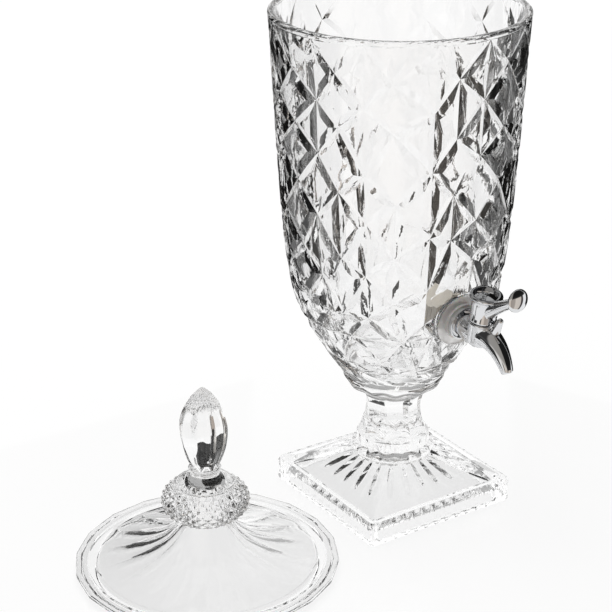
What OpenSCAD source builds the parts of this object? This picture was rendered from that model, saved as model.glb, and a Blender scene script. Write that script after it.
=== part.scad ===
// Footed glass drinks urn with a quarter-turn lever tap, and its lid laid beside it.
// Millimetres. Origin at the centre of the square foot, on the floor. +Z is up and
// the tap points along -Y. The tap is drawn in its own frame: +X away from the glass
// along the shank, +Z up the valve, and its origin on the face of the glass boss.

/* [Bowl] */
// Height of the rim above the floor
rim_z = 371.6; // [345:0.2:460]
// Outer radius at the rim
rim_r = 90; // [75:0.5:110]
// Height of the hip, where the straight side turns in towards the stem
hip_z = 175; // [160:1:200]
// Outer radius at the hip
hip_r = 76; // [70:0.5:85]
// Glass thickness of the side
wall = 5.5; // [4:0.1:8]
// Glass thickness of the floor
floor_t = 9; // [6:0.5:14]
// Radius that rounds each edge of the rim
rim_round = 2; // [1:0.1:2.4]

/* [Pedestal] */
// Height of the seam between pedestal and bowl
seam_z = 100; // [85:0.5:120]
// Radius of the cup that carries the bowl
cup_r = 36.6; // [30:0.2:44]
// Radius of the waist of the stem
waist_r = 19.8; // [16:0.2:24]
// Radius of the ring at the foot of the stem
ring_r = 31.5; // [27:0.5:37]
// Side of the square foot
foot_w = 126.8; // [105:0.2:155]
// Height of the foot's upright edge
foot_edge = 18.5; // [14:0.5:24]
// Width of the flat border round the top of the foot
foot_border = 5; // [3:0.5:8]
// Length of the flat that cuts each corner of the foot
foot_corner = 3; // [1:0.5:6]
// Glass thickness round the hollow under the foot
foot_wall = 9; // [7:0.5:14]

/* [Lid] */
// Gap between the foot and the lid laid beside it
lid_gap = 16.5; // [12:0.5:100]
// Distance of the lid's centre from the foot's centre, along Y
lid_y = -17.5; // [-40:0.5:40]
// How far the flange stands out past the rim
flange_out = 2.6; // [1:0.2:6]
// Thickness of the flange
flange_t = 3; // [2:0.5:5]
// Height of the lip that drops into the mouth
lip_h = 5; // [3:0.5:9]
// Clearance between lip and mouth, on the radius
lip_gap = 1; // [0.5:0.1:2]
// Glass thickness of the lid
lid_wall = 4.5; // [3.5:0.1:6]
// Widest radius of the flattened ball
ball_r = 31.1; // [27:0.1:36]
// Half the height of the flattened ball
ball_h = 16.7; // [14:0.1:20]
// Height of the ball's middle above the lip
ball_z = 54; // [50:0.5:62]
// Widest radius of the finial
finial_r = 17; // [14:0.5:20]
// Height of the finial
finial_h = 62; // [52:1:75]

/* [Tap] */
// Height of the shank's hole in the bowl
tap_z = 167.7; // [160:0.1:200]
// Tilt of the shank below level
tap_tilt = 8.5; // [0:0.5:14]
// How far the boss stands out from the bowl's side
boss_out = 2.2; // [1.5:0.1:5]
// Radius of the glass boss
boss_r = 20; // [17:0.5:24]
// Radius of the shank
shank_r = 8; // [7:0.1:9.2]
// Radius of the water passage along the shank
port_r = 3.4; // [2.6:0.1:4]
// Clearance round the shank in the glass
hole_gap = 0.8; // [0.4:0.1:1.5]
// Distance from the boss to the valve's axis
valve_x = 22.5; // [20.5:0.5:30]
// Radius of the valve chamber
chamber_r = 6; // [5:0.1:6.4]
// Running clearance round each turning part of the valve
run_gap = 0.05; // [0.02:0.01:0.08]
// Clearance between the turning hub and the body
hub_gap = 0.4; // [0.3:0.1:0.8]
// Thickness of the hub's side
hub_wall = 2.1; // [1.8:0.1:3.5]
// Height of the hub
hub_h = 19.8; // [18.4:0.2:25]
// How far the rim round the hub's top stands out
hub_rim = 1.3; // [0.9:0.1:2.5]
// Radius of the lever's end disc
knob_r = 8.2; // [6:0.1:10]
// Radius of the spout's outlet bore
outlet_r = 2.6; // [2:0.1:3]
// Outer radius at the outlet
outlet_out_r = 4.1; // [3.8:0.1:5]

/* [Seals] */
// Thickness of the outer silicone washer
washer_t = 2; // [1:0.1:3]
// Radius of both silicone washers
washer_r = 13; // [11.5:0.1:15]
// Thickness of the inner silicone washer beyond the glass
inner_washer_t = 3.4; // [2.5:0.1:5]
// Thickness of the hard washer under the nut
slip_t = 1.2; // [0.8:0.1:2]
// Thickness of the backing nut
nut_t = 8; // [6:0.5:12]
// Corner radius of the hexagonal backing nut
nut_r = 15.5; // [12.5:0.5:18]

/* [Hidden] */
$fn = 96;

glass = [0.86, 0.93, 0.95, 0.45];
silver = "silver";
silicone = [0.93, 0.93, 0.9];
ivory = [0.9, 0.87, 0.78];

// Space left between faces that are only laid together
lay = 0.05;
// Extra length of a cutting tool past the face it opens
past = 1;

// ---- curves -----------------------------------------------------------------------

// Point at share t of the cubic Bezier curve with the four control points c
function bezier(c, t) =
    pow(1 - t, 3) * c[0] + 3 * pow(1 - t, 2) * t * c[1]
    + 3 * (1 - t) * pow(t, 2) * c[2] + pow(t, 3) * c[3];
// n + 1 points along that curve
function bezier_points(c, n) = [for (i = [0:n]) bezier(c, i / n)];
// The list p without its first point
function tail(p) = [for (i = [1:len(p) - 1]) p[i]];
// The list p from its last point to its first
function reversed(p) = [for (i = [len(p) - 1:-1:0]) p[i]];
// n + 1 points of the arc about c, from angle a to angle b
function arc(c, r, a, b, n) = [for (i = [0:n]) let (q = a + (b - a) * i / n) c + r * [cos(q), sin(q)]];
// Unit normal on the left of the line from p to q
function left_normal(p, q) = let (d = (q - p) / norm(q - p)) [-d.y, d.x];
// Each point of p moved by d to the left of the curve's own direction
function offset_left(p, d) = [
    for (i = [0:len(p) - 1])
        p[i] + d * left_normal(p[max(i - 1, 0)], p[min(i + 1, len(p) - 1)])
];

// ---- derived sizes of the glass -----------------------------------------------------

hip = [hip_r, hip_z];
hip_lean = [4.5, 25];
under_side = bezier_points(
    [[cup_r, seam_z], [0.53 * cup_r + 0.47 * hip_r, seam_z + 0.36 * (hip_z - seam_z)],
     hip - hip_lean, hip], 12);
upright_side = bezier_points(
    [hip, hip + 1.7 * hip_lean, [rim_r - 4, rim_z - 0.36 * (rim_z - hip_z)], [rim_r, rim_z]], 16);
side = concat(under_side, tail(upright_side));
// Outer radius of the bowl at height z
function bowl_r(z) = lookup(z, [for (p = side) [p.y, p.x]]);

mouth_r = rim_r - wall;
rim_fillet = min(rim_round, wall / 2 - 0.1);
bowl_floor_z = seam_z + floor_t;
floor_turn = 10;

// Outline of the bowl's hollow, kept "extra" further in than the wall's own face
function cavity_outline(extra) =
    let (inner = [for (p = offset_left(side, wall + extra))
                  if (p.y > bowl_floor_z + floor_turn && p.y < rim_z - rim_fillet) p])
    let (first = inner[0], base = bowl_floor_z + extra)
    concat(
        bezier_points([[0, base], [0.5 * first.x, base],
                       [0.8 * first.x, base + 0.2 * floor_turn], first], 8),
        tail(inner));

lip_r = mouth_r - lip_gap;
lip_t = 5;
flange_r = rim_r + flange_out;
flange_z = lip_h;
flange_top = flange_z + flange_t;
step_r = lip_r + 0.5;
flute_r = step_r - 7.6;
neck_r = 17;
neck_z = ball_z - ball_h + 2.7;
dome_side = bezier_points(
    [[flute_r, flange_top + 1], [0.64 * flute_r, flange_top + 6], [neck_r + 8, neck_z - 19],
     [neck_r, neck_z]], 14);
ball_foot = asin((neck_z - ball_z) / ball_h);
ball_crown = asin(0.76);
collar_r = 10.2;
collar_z = ball_z + ball_h + 7;
collar_h = 2.4;
finial_z = collar_z + collar_h;
lid_x = -(foot_w / 2 + lid_gap + flange_r);

// ---- derived sizes of the tap -------------------------------------------------------

tap_r = bowl_r(tap_z) + boss_out;
shank_hole_r = shank_r + hole_gap;
// Where the inner washer ends and the hard washer begins, measured from the boss
slip_x = -(boss_out + wall + inner_washer_t);
nut_x = slip_x - slip_t;
shank_x = nut_x - nut_t - 3;
shoulder_r = shank_r + 1;
escutcheon_r = shank_r + 4;
escutcheon_x = washer_t;
escutcheon_t = 0.9;
shoulder_x = escutcheon_x + escutcheon_t;
bulb_r = chamber_r + 3.5;
chamber_floor = -(port_r + 1.8);
bulb_z = chamber_floor + 3;
bulb_depth = 5.2;
hub_z = 13.3;
hub_seat = 0.3;
spigot_r = chamber_r + 1.8;
skirt_r = spigot_r + hub_gap;
hub_r = skirt_r + hub_wall;
hub_rim_r = hub_r + hub_rim;
spigot_z = hub_z + 4;
bonnet_t = 2;
bonnet_r = chamber_r + 0.8;
thrust_t = 0.6;
plug_top = spigot_z - bonnet_t - thrust_t - lay;
plug_port_r = port_r - 0.4;
stem_r = 3.4;
drive_w = 4.8;
web_z = spigot_z + 2.5;
web_t = 5.5;
drive_top = web_z + web_t - 0.3;
cap_r = hub_r - 1;
hub_top = hub_z + hub_h;
cap_z = hub_top - 3;
screw_r = 1.2;
screw_l = 9;
screw_head_r = 4;
turn = 90;
lug_w = 4;
lug_h = 3;
// Angle that half the lug takes up in its slot
lug_half = asin((lug_w / 2 + 0.3) / skirt_r);

spout_curve = [[valve_x - 2.5, 1], [valve_x + 13.5, 8], [valve_x + 25.5, -2], [valve_x + 32.2, -12]];
// Radius of the spout at share t of its length
function spout_r(t) = outlet_out_r + (bulb_r - 0.5 - outlet_out_r) * (1 - pow(t, 1.3));
outlet_aim = (spout_curve[3] - spout_curve[2]) / norm(spout_curve[3] - spout_curve[2]);
outlet_angle = atan2(outlet_aim.x, outlet_aim.y);
outlet_l = 10;
outlet_start = spout_curve[3] - outlet_l * outlet_aim;
bend_from = [valve_x + chamber_r - 2, 2.2];
bend_angle = atan2(outlet_start.x - bend_from.x, outlet_start.y - bend_from.y);
bend_l = norm(outlet_start - bend_from) + 1.2;

lever_from = [valve_x + 5, hub_z + 9.9];
knob_at = [valve_x + 31, hub_z + 31];
lever_to = knob_at - [1, 1.6];
lever_angle = atan2(lever_to.x - lever_from.x, lever_to.y - lever_from.y);
lever_l = norm(lever_to - lever_from);
knob_angle = 80;

// ---- helpers ------------------------------------------------------------------------

// Puts what is drawn in the tap's frame into the urn's frame
module on_bowl() {
    translate([0, -tap_r, tap_z])
        rotate([tap_tilt, 0, 0])
            rotate([0, 0, -90])
                children();
}

// Cylinder along the shank, from x = a to x = b
module along_shank(r, a, b) {
    translate([a, 0, 0])
        rotate([0, 90, 0])
            cylinder(r = r, h = b - a);
}

// Cylinder along the valve's axis, from z = a to z = b
module along_valve(r, a, b) {
    translate([valve_x, 0, a])
        cylinder(r = r, h = b - a);
}

// Washer or tube along the shank
module shank_ring(r, hole_r, a, b) {
    difference() {
        along_shank(r, a, b);
        along_shank(hole_r, a - past, b + past);
    }
}

// Washer or tube along the valve's axis
module valve_ring(r, hole_r, a, b) {
    difference() {
        along_valve(r, a, b);
        along_valve(hole_r, a - past, b + past);
    }
}

// Solid swept along the plane curve c, round, with radius spout_r, sides and rings as given
module spout_sweep(c, sides, rings) {
    centre = bezier_points(c, rings);
    points = [
        for (i = [0:rings])
            let (n = left_normal(centre[max(i - 1, 0)], centre[min(i + 1, rings)]), r = spout_r(i / rings))
            for (j = [0:sides - 1])
                let (a = 360 * j / sides)
                [centre[i].x + r * cos(a) * n.x, r * sin(a), centre[i].y + r * cos(a) * n.y]
    ];
    walls = [
        for (i = [0:rings - 1], j = [0:sides - 1])
            let (k = (j + 1) % sides)
            [i * sides + j, i * sides + k, (i + 1) * sides + k, (i + 1) * sides + j]
    ];
    caps = [
        [for (j = [sides - 1:-1:0]) j],
        [for (j = [0:sides - 1]) rings * sides + j]
    ];
    polyhedron(points, concat(walls, caps), convexity = 4);
}

module cavity(extra) {
    outline = cavity_outline(extra);
    rotate_extrude()
        polygon(concat(outline, [[outline[len(outline) - 1].x, rim_z + past], [0, rim_z + past]]));
}

// ---- glass --------------------------------------------------------------------------

module bowl() {
    inner = cavity_outline(0);
    kept = [for (p = side) if (p.y < rim_z - rim_fillet) p];
    rim = concat(
        arc([rim_r - rim_fillet, rim_z - rim_fillet], rim_fillet, 0, 90, 5),
        arc([mouth_r + rim_fillet, rim_z - rim_fillet], rim_fillet, 90, 180, 5));
    color(glass)
        difference() {
            union() {
                rotate_extrude()
                    polygon(concat([[0, seam_z]], kept, rim, reversed(inner)));
                difference() {
                    on_bowl() along_shank(boss_r, -boss_out - wall, 0);
                    cavity(0);
                }
            }
            on_bowl() along_shank(shank_hole_r, -boss_out - 2 * wall, past);
        }
}

module pedestal() {
    stem = concat(
        [[0, seam_z], [cup_r, seam_z]],
        bezier_points([[cup_r, seam_z - 2], [cup_r - 2, seam_z - 8], [cup_r - 6, seam_z - 14],
                       [waist_r + 4, seam_z - 15]], 6),
        bezier_points([[waist_r + 2, seam_z - 17], [waist_r - 1, seam_z - 24],
                       [waist_r - 1, seam_z - 40], [waist_r + 7, seam_z - 49]], 10),
        arc([ring_r - 4.5, foot_edge + 21], 4.5, 80, -60, 8),
        [[ring_r - 3, foot_edge + 8], [0, foot_edge + 8]]);
    half = foot_w / 2 - foot_border;
    color(glass)
        difference() {
            union() {
                rotate_extrude()
                    polygon(stem);
                linear_extrude(foot_edge)
                    foot_outline(foot_w / 2, foot_corner);
                translate([0, 0, foot_edge])
                    linear_extrude(foot_edge, scale = (ring_r - 7) / half)
                        foot_outline(half, foot_corner);
            }
            translate([0, 0, -past])
                linear_extrude(past + foot_edge - foot_wall)
                    foot_outline(foot_w / 2 - foot_wall, foot_corner);
            translate([0, 0, foot_edge - foot_wall])
                linear_extrude(foot_edge, scale = 0.3)
                    foot_outline(foot_w / 2 - foot_wall - 2, foot_corner);
        }
}

// Square of the given half side with its corners cut by flats
module foot_outline(half, corner) {
    c = corner / sqrt(2);
    polygon([for (q = [0:3], e = [[half, c - half], [half, half - c]])
             [e.x * cos(90 * q) - e.y * sin(90 * q), e.x * sin(90 * q) + e.y * cos(90 * q)]]);
}

module at_lid() {
    translate([lid_x, lid_y, 0])
        children();
}

module lid_dome() {
    under = [for (p = offset_left(dome_side, lid_wall)) if (p.x > neck_r - lid_wall) p];
    top = concat(
        [[lip_r, 0], [lip_r, flange_z], [flange_r - 1, flange_z], [flange_r, flange_z + 1],
         [flange_r, flange_top - 1], [flange_r - 1, flange_top], [step_r, flange_top],
         [step_r - 1.5, flange_top + 1.5], [flute_r + 1.5, flange_top + 1.5]],
        dome_side);
    bore = neck_r - lid_wall;
    color(glass)
        at_lid()
            difference() {
                rotate_extrude()
                    polygon(concat([[0, 0]], top, [[0, neck_z]]));
                rotate_extrude()
                    polygon(concat(
                        [[0, -past], [lip_r - lip_t, -past], [lip_r - lip_t, flange_z - 1]],
                        under, [[bore, neck_z + past], [0, neck_z + past]]));
            }
}

module lid_ball() {
    skin = [
        for (i = [0:20])
            let (a = ball_foot + (ball_crown - ball_foot) * i / 20)
            [ball_r * cos(a), ball_z + ball_h * sin(a)]
    ];
    crown = skin[len(skin) - 1];
    collar = bezier_points(
        [crown - [0.8, 0], [crown.x - 5, crown.y + 4.5], [collar_r - 1, collar_z - 6],
         [collar_r - 1, collar_z]], 8);
    bore = neck_r - lid_wall;
    color(glass)
        at_lid()
            difference() {
                rotate_extrude()
                    polygon(concat([[0, neck_z], [neck_r, neck_z]], skin, collar, [[0, collar_z]]));
                translate([0, 0, neck_z - past])
                    cylinder(r = bore, h = crown.y - 3 - neck_z + past);
            }
}

module lid_finial() {
    widest = finial_z + 0.49 * (finial_h - collar_h);
    tip = finial_z + finial_h - collar_h;
    outline = concat(
        [[0, collar_z], [collar_r + 1.2, collar_z], [collar_r + 1.2, finial_z - 0.8],
         [collar_r - 1, finial_z - 0.8]],
        bezier_points([[collar_r - 0.6, finial_z], [finial_r - 3, finial_z + 9],
                       [finial_r, widest - 12], [finial_r, widest]], 8),
        tail(bezier_points([[finial_r, widest], [finial_r, widest + 11],
                            [0.45 * finial_r, tip - 4], [0, tip]], 10)));
    color(glass)
        at_lid()
            rotate_extrude()
                polygon(outline);
}

// ---- tap, fixed pieces --------------------------------------------------------------

module tap_body() {
    color(silver)
        on_bowl()
            difference() {
                union() {
                    along_shank(shank_r, shank_x, shoulder_x);
                    along_shank(shoulder_r, shoulder_x, valve_x);
                    along_valve(bulb_r, bulb_z, hub_z - hub_seat);
                    translate([valve_x, 0, bulb_z])
                        rotate_extrude()
                            intersection() {
                                scale([1, bulb_depth / bulb_r])
                                    circle(bulb_r);
                                translate([0, -bulb_r])
                                    square([bulb_r, bulb_r]);
                            }
                    along_valve(spigot_r, 0, spigot_z);
                    spout_sweep(spout_curve, 24, 14);
                    stop_lug();
                }
                along_shank(port_r, shank_x - past, valve_x);
                along_shank(port_r + 1.5, valve_x - chamber_r - 4.5, valve_x);
                along_valve(chamber_r, chamber_floor, spigot_z + past);
                along_valve(bonnet_r, spigot_z - bonnet_t, spigot_z + past);
                translate([bend_from.x, 0, bend_from.y])
                    rotate([0, bend_angle, 0])
                        cylinder(r = outlet_r, h = bend_l);
                translate([outlet_start.x, 0, outlet_start.y])
                    rotate([0, outlet_angle, 0])
                        cylinder(r = outlet_r, h = outlet_l + past);
            }
}

// Lug that stands in the hub's slot, with the upright tongue in front of the hub
module stop_lug() {
    translate([valve_x + skirt_r + 0.4, -lug_w / 2, hub_z - 4])
        cube([hub_r - skirt_r + 2.5, lug_w, lug_h + 4]);
    hull() {
        translate([valve_x + hub_r + 3.9, 0, hub_z - 2])
            sphere(r = 3.4, $fn = 32);
        translate([valve_x + hub_r + 7, 0, hub_z + 7.5])
            sphere(r = 2.2, $fn = 32);
    }
}

module escutcheon() {
    outer = escutcheon_r;
    color(silver)
        on_bowl()
            translate([escutcheon_x, 0, 0])
                rotate([0, 90, 0])
                    rotate_extrude()
                        polygon([
                            [shank_r + lay, 0], [outer, 0], [outer, 3], [outer - 0.8, 3],
                            [outer - 1.3, 1.4], [shoulder_r + 0.8, escutcheon_t],
                            [shank_r + lay, escutcheon_t]
                        ]);
}

module outer_washer() {
    color(silicone)
        on_bowl() shank_ring(washer_r, shank_r + lay, 0, washer_t);
}

module inner_washer() {
    color(silicone)
        intersection() {
            on_bowl() shank_ring(washer_r, shank_r + lay, slip_x, 0);
            cavity(2 * lay);
        }
}

module slip_washer() {
    color(ivory)
        on_bowl() shank_ring(washer_r, shank_r + lay, nut_x, slip_x);
}

module backing_nut() {
    color(ivory)
        on_bowl()
            difference() {
                union() {
                    translate([nut_x - nut_t, 0, 0])
                        rotate([0, 90, 0])
                            cylinder(r = nut_r, h = nut_t, $fn = 6);
                    along_shank(washer_r - 0.3, nut_x - nut_t - 1.5, nut_x);
                }
                along_shank(shank_r + lay, nut_x - nut_t - 2 * past, nut_x + past);
            }
}

module port_seal() {
    color(silicone)
        on_bowl()
            difference() {
                shank_ring(port_r + 1.4, port_r, valve_x - chamber_r - 4.4, valve_x);
                along_valve(chamber_r, chamber_floor - past, spigot_z);
            }
}

module bonnet() {
    color("gainsboro")
        on_bowl() valve_ring(bonnet_r - lay, stem_r + run_gap, spigot_z - bonnet_t, spigot_z);
}

module thrust_washer() {
    z = spigot_z - bonnet_t;
    color("white")
        on_bowl() valve_ring(chamber_r - lay, stem_r + run_gap, z - thrust_t, z);
}

// ---- tap, turning pieces ------------------------------------------------------------

ring_section = 0.6;
groove_r = chamber_r - run_gap - 2 * ring_section - 0.05;
groove_h = 2 * ring_section + 0.2;
lower_groove = chamber_floor + 0.4;
upper_groove = port_r + 1.6;

module valve_plug() {
    color("whitesmoke")
        on_bowl() {
            difference() {
                union() {
                    along_valve(chamber_r - run_gap, chamber_floor + 0.2, plug_top);
                    along_valve(stem_r, 0, web_z - 0.4);
                    translate([valve_x - drive_w / 2, -drive_w / 2, web_z - 0.4])
                        cube([drive_w, drive_w, drive_top - web_z + 0.4]);
                }
                translate([valve_x, chamber_r + past, 0])
                    rotate([90, 0, 0])
                        cylinder(r = plug_port_r, h = 2 * (chamber_r + past));
                for (z = [lower_groove, upper_groove])
                    valve_ring(chamber_r + past, groove_r, z, z + groove_h);
                along_valve(screw_r, drive_top - screw_l, drive_top + past);
            }
        }
}

module o_ring(z) {
    color("dimgray")
        on_bowl()
            translate([valve_x, 0, z + groove_h / 2])
                rotate_extrude()
                    translate([chamber_r - run_gap - ring_section, 0])
                        circle(ring_section, $fn = 32);
}

module upper_o_ring() {
    o_ring(upper_groove);
}

module lower_o_ring() {
    o_ring(lower_groove);
}

module lever_handle() {
    color(silver)
        on_bowl()
            difference() {
                union() {
                    along_valve(hub_r, hub_z, hub_top);
                    translate([valve_x, 0, hub_top - 2.6])
                        rotate_extrude()
                            polygon(concat([[0, -1.6], [hub_r - 0.5, -1.6]],
                                           arc([hub_rim_r - 1.3, 1.3], 1.3, -60, 90, 6), [[0, 2.6]]));
                    lever();
                }
                along_valve(skirt_r, hub_z - past, web_z);
                along_valve(cap_r - 1.2, web_z + web_t, cap_z + past);
                along_valve(cap_r, cap_z, hub_top + past);
                translate([valve_x - drive_w / 2 - run_gap, -drive_w / 2 - run_gap, web_z - past])
                    cube([drive_w + 2 * run_gap, drive_w + 2 * run_gap, web_t + 2 * past]);
                stop_slot();
            }
}

// Quarter-turn slot in the hub's lower edge that the stop lug stands in
module stop_slot() {
    translate([valve_x, 0, hub_z - past])
        rotate([0, 0, -lug_half])
            rotate_extrude(angle = turn + 2 * lug_half)
                translate([skirt_r - past, 0])
                    square([hub_r - skirt_r + 2 * past, lug_h + 0.3 + past]);
}

module lever() {
    translate([lever_from.x, 0, lever_from.y])
        rotate([0, lever_angle, 0])
            rotate_extrude()
                polygon(concat([[0, 0]],
                               bezier_points([[6.5, 0], [4.8, 8], [3.6, 14], [3.7, lever_l - 6]], 8),
                               [[4.8, lever_l - 1], [0, lever_l - 1]]));
    translate([knob_at.x, 0, knob_at.y])
        rotate([0, knob_angle, 0])
            rotate_extrude()
                polygon(concat([[0, -3.6], [4, -3.2]],
                               arc([knob_r - 1.4, 0], 1.4, -90, 40, 5),
                               bezier_points([[knob_r - 1.2, 1.6], [5, 2.8], [2.5, 3.4], [0, 3.4]], 5)));
}

module handle_screw() {
    z = web_z + web_t;
    color("silver")
        on_bowl() {
            along_valve(screw_r - lay, drive_top - screw_l + 0.6, z);
            difference() {
                along_valve(screw_head_r, z, z + 2.2);
                for (q = [0, 90])
                    translate([valve_x, 0, z + 2.2])
                        rotate([0, 0, q])
                            cube([4.4, 0.9, 2.4], center = true);
            }
        }
}

module hub_cap() {
    color(silver)
        on_bowl()
            translate([valve_x, 0, cap_z])
                rotate_extrude()
                    polygon(concat([[0, 0], [cap_r - lay, 0], [cap_r - lay, 1]],
                                   bezier_points([[cap_r - 1, 1], [cap_r - 3, 1.6], [3, 2.6], [0, 2.6]], 8)));
}

bowl();
pedestal();
lid_dome();
lid_ball();
lid_finial();
tap_body();
escutcheon();
outer_washer();
inner_washer();
slip_washer();
backing_nut();
port_seal();
thrust_washer();
bonnet();
valve_plug();
upper_o_ring();
lower_o_ring();
lever_handle();
handle_screw();
hub_cap();
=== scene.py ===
"""Footed cut-glass urn with a lever tap, and its lid laid beside it.

The packed CAD model is the fixed frame. Every glass piece is worked out here as a
closed surface with its cutting, and every other piece gets its finish. Lengths are
metres, in the row's frame: origin under the middle of the foot, +Z up, tap along -Y.
"""

import math

import bpy
import numpy as np
from mathutils import Matrix, Vector


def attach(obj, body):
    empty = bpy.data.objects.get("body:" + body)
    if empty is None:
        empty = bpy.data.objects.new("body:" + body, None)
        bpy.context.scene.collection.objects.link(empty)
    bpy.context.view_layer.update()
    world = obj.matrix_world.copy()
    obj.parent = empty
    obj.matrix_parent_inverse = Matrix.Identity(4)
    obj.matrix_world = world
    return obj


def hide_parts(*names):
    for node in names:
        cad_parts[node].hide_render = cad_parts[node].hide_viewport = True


bl_info = {
    "name": "Cut-glass drinks urn",
    "version": (1, 0, 0),
    "blender": (4, 5, 0),
    "location": "3D View > Sidebar > Glass urn",
    "description": "Builds the cut glass, tap finishes and studio of a footed drinks urn",
    "category": "Object",
}

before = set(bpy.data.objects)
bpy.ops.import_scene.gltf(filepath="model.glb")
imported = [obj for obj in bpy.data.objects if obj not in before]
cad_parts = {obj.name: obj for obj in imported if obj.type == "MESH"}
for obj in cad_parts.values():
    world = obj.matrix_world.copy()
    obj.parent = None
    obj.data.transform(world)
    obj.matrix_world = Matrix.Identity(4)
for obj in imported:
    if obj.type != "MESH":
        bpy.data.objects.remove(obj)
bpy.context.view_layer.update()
MM = 0.001
NET_START = math.radians(-112)  # bearing of the first column of groove junctions
VIEW_HEADING = math.radians(33.275)  # the camera looks this far from +Y towards +X


# ---- sizes and colours -------------------------------------------------------------

def length(name, description, millimetres):
    """A bpy length property with its default given in millimetres."""
    return bpy.props.FloatProperty(
        name=name, description=description, default=millimetres * MM,
        subtype="DISTANCE", unit="LENGTH", precision=5)


def colour(name, description, code):
    """A bpy colour property whose default is an sRGB hex value."""
    return bpy.props.FloatVectorProperty(
        name=name, description=description, default=linear(code)[:3],
        subtype="COLOR", size=3, min=0, max=1)


def linear(code):
    """sRGB hex code to linear RGBA: c / 12.92 up to 0.04045, else ((c + 0.055) / 1.055) ^ 2.4."""
    c = np.array([int(code[i:i + 2], 16) for i in (1, 3, 5)]) / 255
    c = np.where(c <= 0.04045, c / 12.92, ((c + 0.055) / 1.055) ** 2.4)
    return (*[float(v) for v in c], 1.0)


class UrnBowlSizes(bpy.types.PropertyGroup):
    """Sizes of the bowl and of its cutting."""
    rim_z: length("Rim height", "Height of the rim above the floor", 371.6)
    rim_r: length("Rim radius", "Outer radius at the rim", 90)
    hip_z: length("Hip height", "Height where the side turns in towards the stem", 175)
    hip_r: length("Hip radius", "Outer radius at the hip", 76)
    wall: length("Wall", "Glass thickness of the side", 5.5)
    floor_t: length("Floor", "Glass thickness of the floor", 9)
    rim_round: length("Rim rounding", "Radius of the rim's edges", 2)
    boss_r: length("Boss radius", "Radius of the flat boss round the tap", 20)
    boss_out: length("Boss height", "How far the boss stands out from the side", 2.2)
    hole_r: length("Hole radius", "Radius of the tap's hole", 8.8)
    bevel: length("Bevel width", "Width of each mitred bevel of the cutting", 5.0)
    cut: length("Cut depth", "Depth of the grooves where they meet", 2.0)
    columns: bpy.props.IntProperty(
        name="Columns", description="Columns of groove junctions round the bowl", default=26, min=12, max=60)


class UrnFootSizes(bpy.types.PropertyGroup):
    """Sizes of the pedestal and of its cutting."""
    seam_z: length("Seam height", "Height of the seam between pedestal and bowl", 100)
    cup_r: length("Cup radius", "Radius of the cup that carries the bowl", 36.6)
    waist_r: length("Waist radius", "Radius of the stem's waist", 19.8)
    ring_r: length("Ring radius", "Radius of the ring at the foot of the stem", 31.5)
    foot_w: length("Foot width", "Side of the square foot", 126.8)
    foot_edge: length("Foot edge", "Height of the foot's upright edge", 18.5)
    foot_border: length("Foot border", "Width of the flat border round the foot", 5)
    foot_corner: length("Foot corner", "Length of the flat across each corner", 3)
    foot_wall: length("Foot wall", "Glass thickness round the hollow foot", 9)
    scallop: length("Scallop pitch", "Spacing of the scallops along the foot's edge", 9.3)
    petals: bpy.props.IntProperty(
        name="Petals", description="Shells round the ring at the foot of the stem", default=16, min=6, max=40)
    rays: bpy.props.IntProperty(
        name="Rays", description="Lens-shaped cuts round the foot", default=24, min=8, max=60)


class UrnLidSizes(bpy.types.PropertyGroup):
    """Sizes of the lid, its ball and its finial."""
    lid_x: length("Lid X", "Place of the lid's middle along X", -172.5)
    lid_y: length("Lid Y", "Place of the lid's middle along Y", -17.5)
    flange_r: length("Flange radius", "Radius of the flange", 92.6)
    flange_t: length("Flange thickness", "Thickness of the flange", 3)
    lip_h: length("Lip height", "Height of the lip that drops into the mouth", 5)
    lip_r: length("Lip radius", "Outer radius of the lip", 83.5)
    lid_wall: length("Lid wall", "Glass thickness of the lid", 4.5)
    neck_r: length("Neck radius", "Radius of the neck under the ball", 17)
    neck_z: length("Neck height", "Height of the neck under the ball", 40)
    ball_r: length("Ball radius", "Widest radius of the flattened ball", 31.1)
    ball_h: length("Ball height", "Half the height of the flattened ball", 16.7)
    ball_z: length("Ball middle", "Height of the ball's middle", 54)
    collar_r: length("Collar radius", "Radius of the collar under the finial", 10.2)
    collar_h: length("Collar height", "Height of the collar under the finial", 2.4)
    finial_r: length("Finial radius", "Widest radius of the finial", 17)
    finial_h: length("Finial height", "Height of the finial with its collar", 62)
    flutes: bpy.props.IntProperty(
        name="Flutes", description="Flutes round the lid's dome", default=18, min=8, max=80)
    diamonds: bpy.props.IntProperty(
        name="Diamonds", description="Diamonds round the ball", default=26, min=8, max=60)
    petals: bpy.props.IntProperty(
        name="Finial flutes", description="Flutes round the finial", default=8, min=6, max=30)


class UrnTapSizes(bpy.types.PropertyGroup):
    """Sizes of the tap, in its own frame: along the shank from the boss, and up the valve."""
    shank_r: length("Shank radius", "Radius of the threaded shank", 8)
    shank_end: length("Shank end", "Where the shank ends behind the boss", -23.3)
    shoulder: length("Shoulder", "Where the shank widens to its neck", 2.9)
    port_r: length("Port radius", "Radius of the passage along the shank", 3.4)
    valve_x: length("Valve distance", "Distance from the boss to the valve's axis", 22.5)
    chamber_r: length("Chamber radius", "Radius of the valve chamber", 6)
    bulb_r: length("Body radius", "Outer radius of the body round the valve", 9.5)
    hub_z: length("Hub foot", "Height of the hub's lower edge", 13.3)
    hub_h: length("Hub height", "Height of the hub", 19.8)
    skirt_r: length("Skirt radius", "Inner radius of the hub's skirt", 8.2)
    hub_r: length("Hub radius", "Outer radius of the hub", 10.3)
    hub_rim_r: length("Hub rim radius", "Radius of the rim round the hub's top", 11.6)
    knob_r: length("Disc radius", "Radius of the lever's end disc", 8.2)
    outlet_r: length("Outlet radius", "Radius of the spout's outlet bore", 2.6)
    outlet_out_r: length("Outlet rim radius", "Outer radius at the outlet", 4.1)


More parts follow.
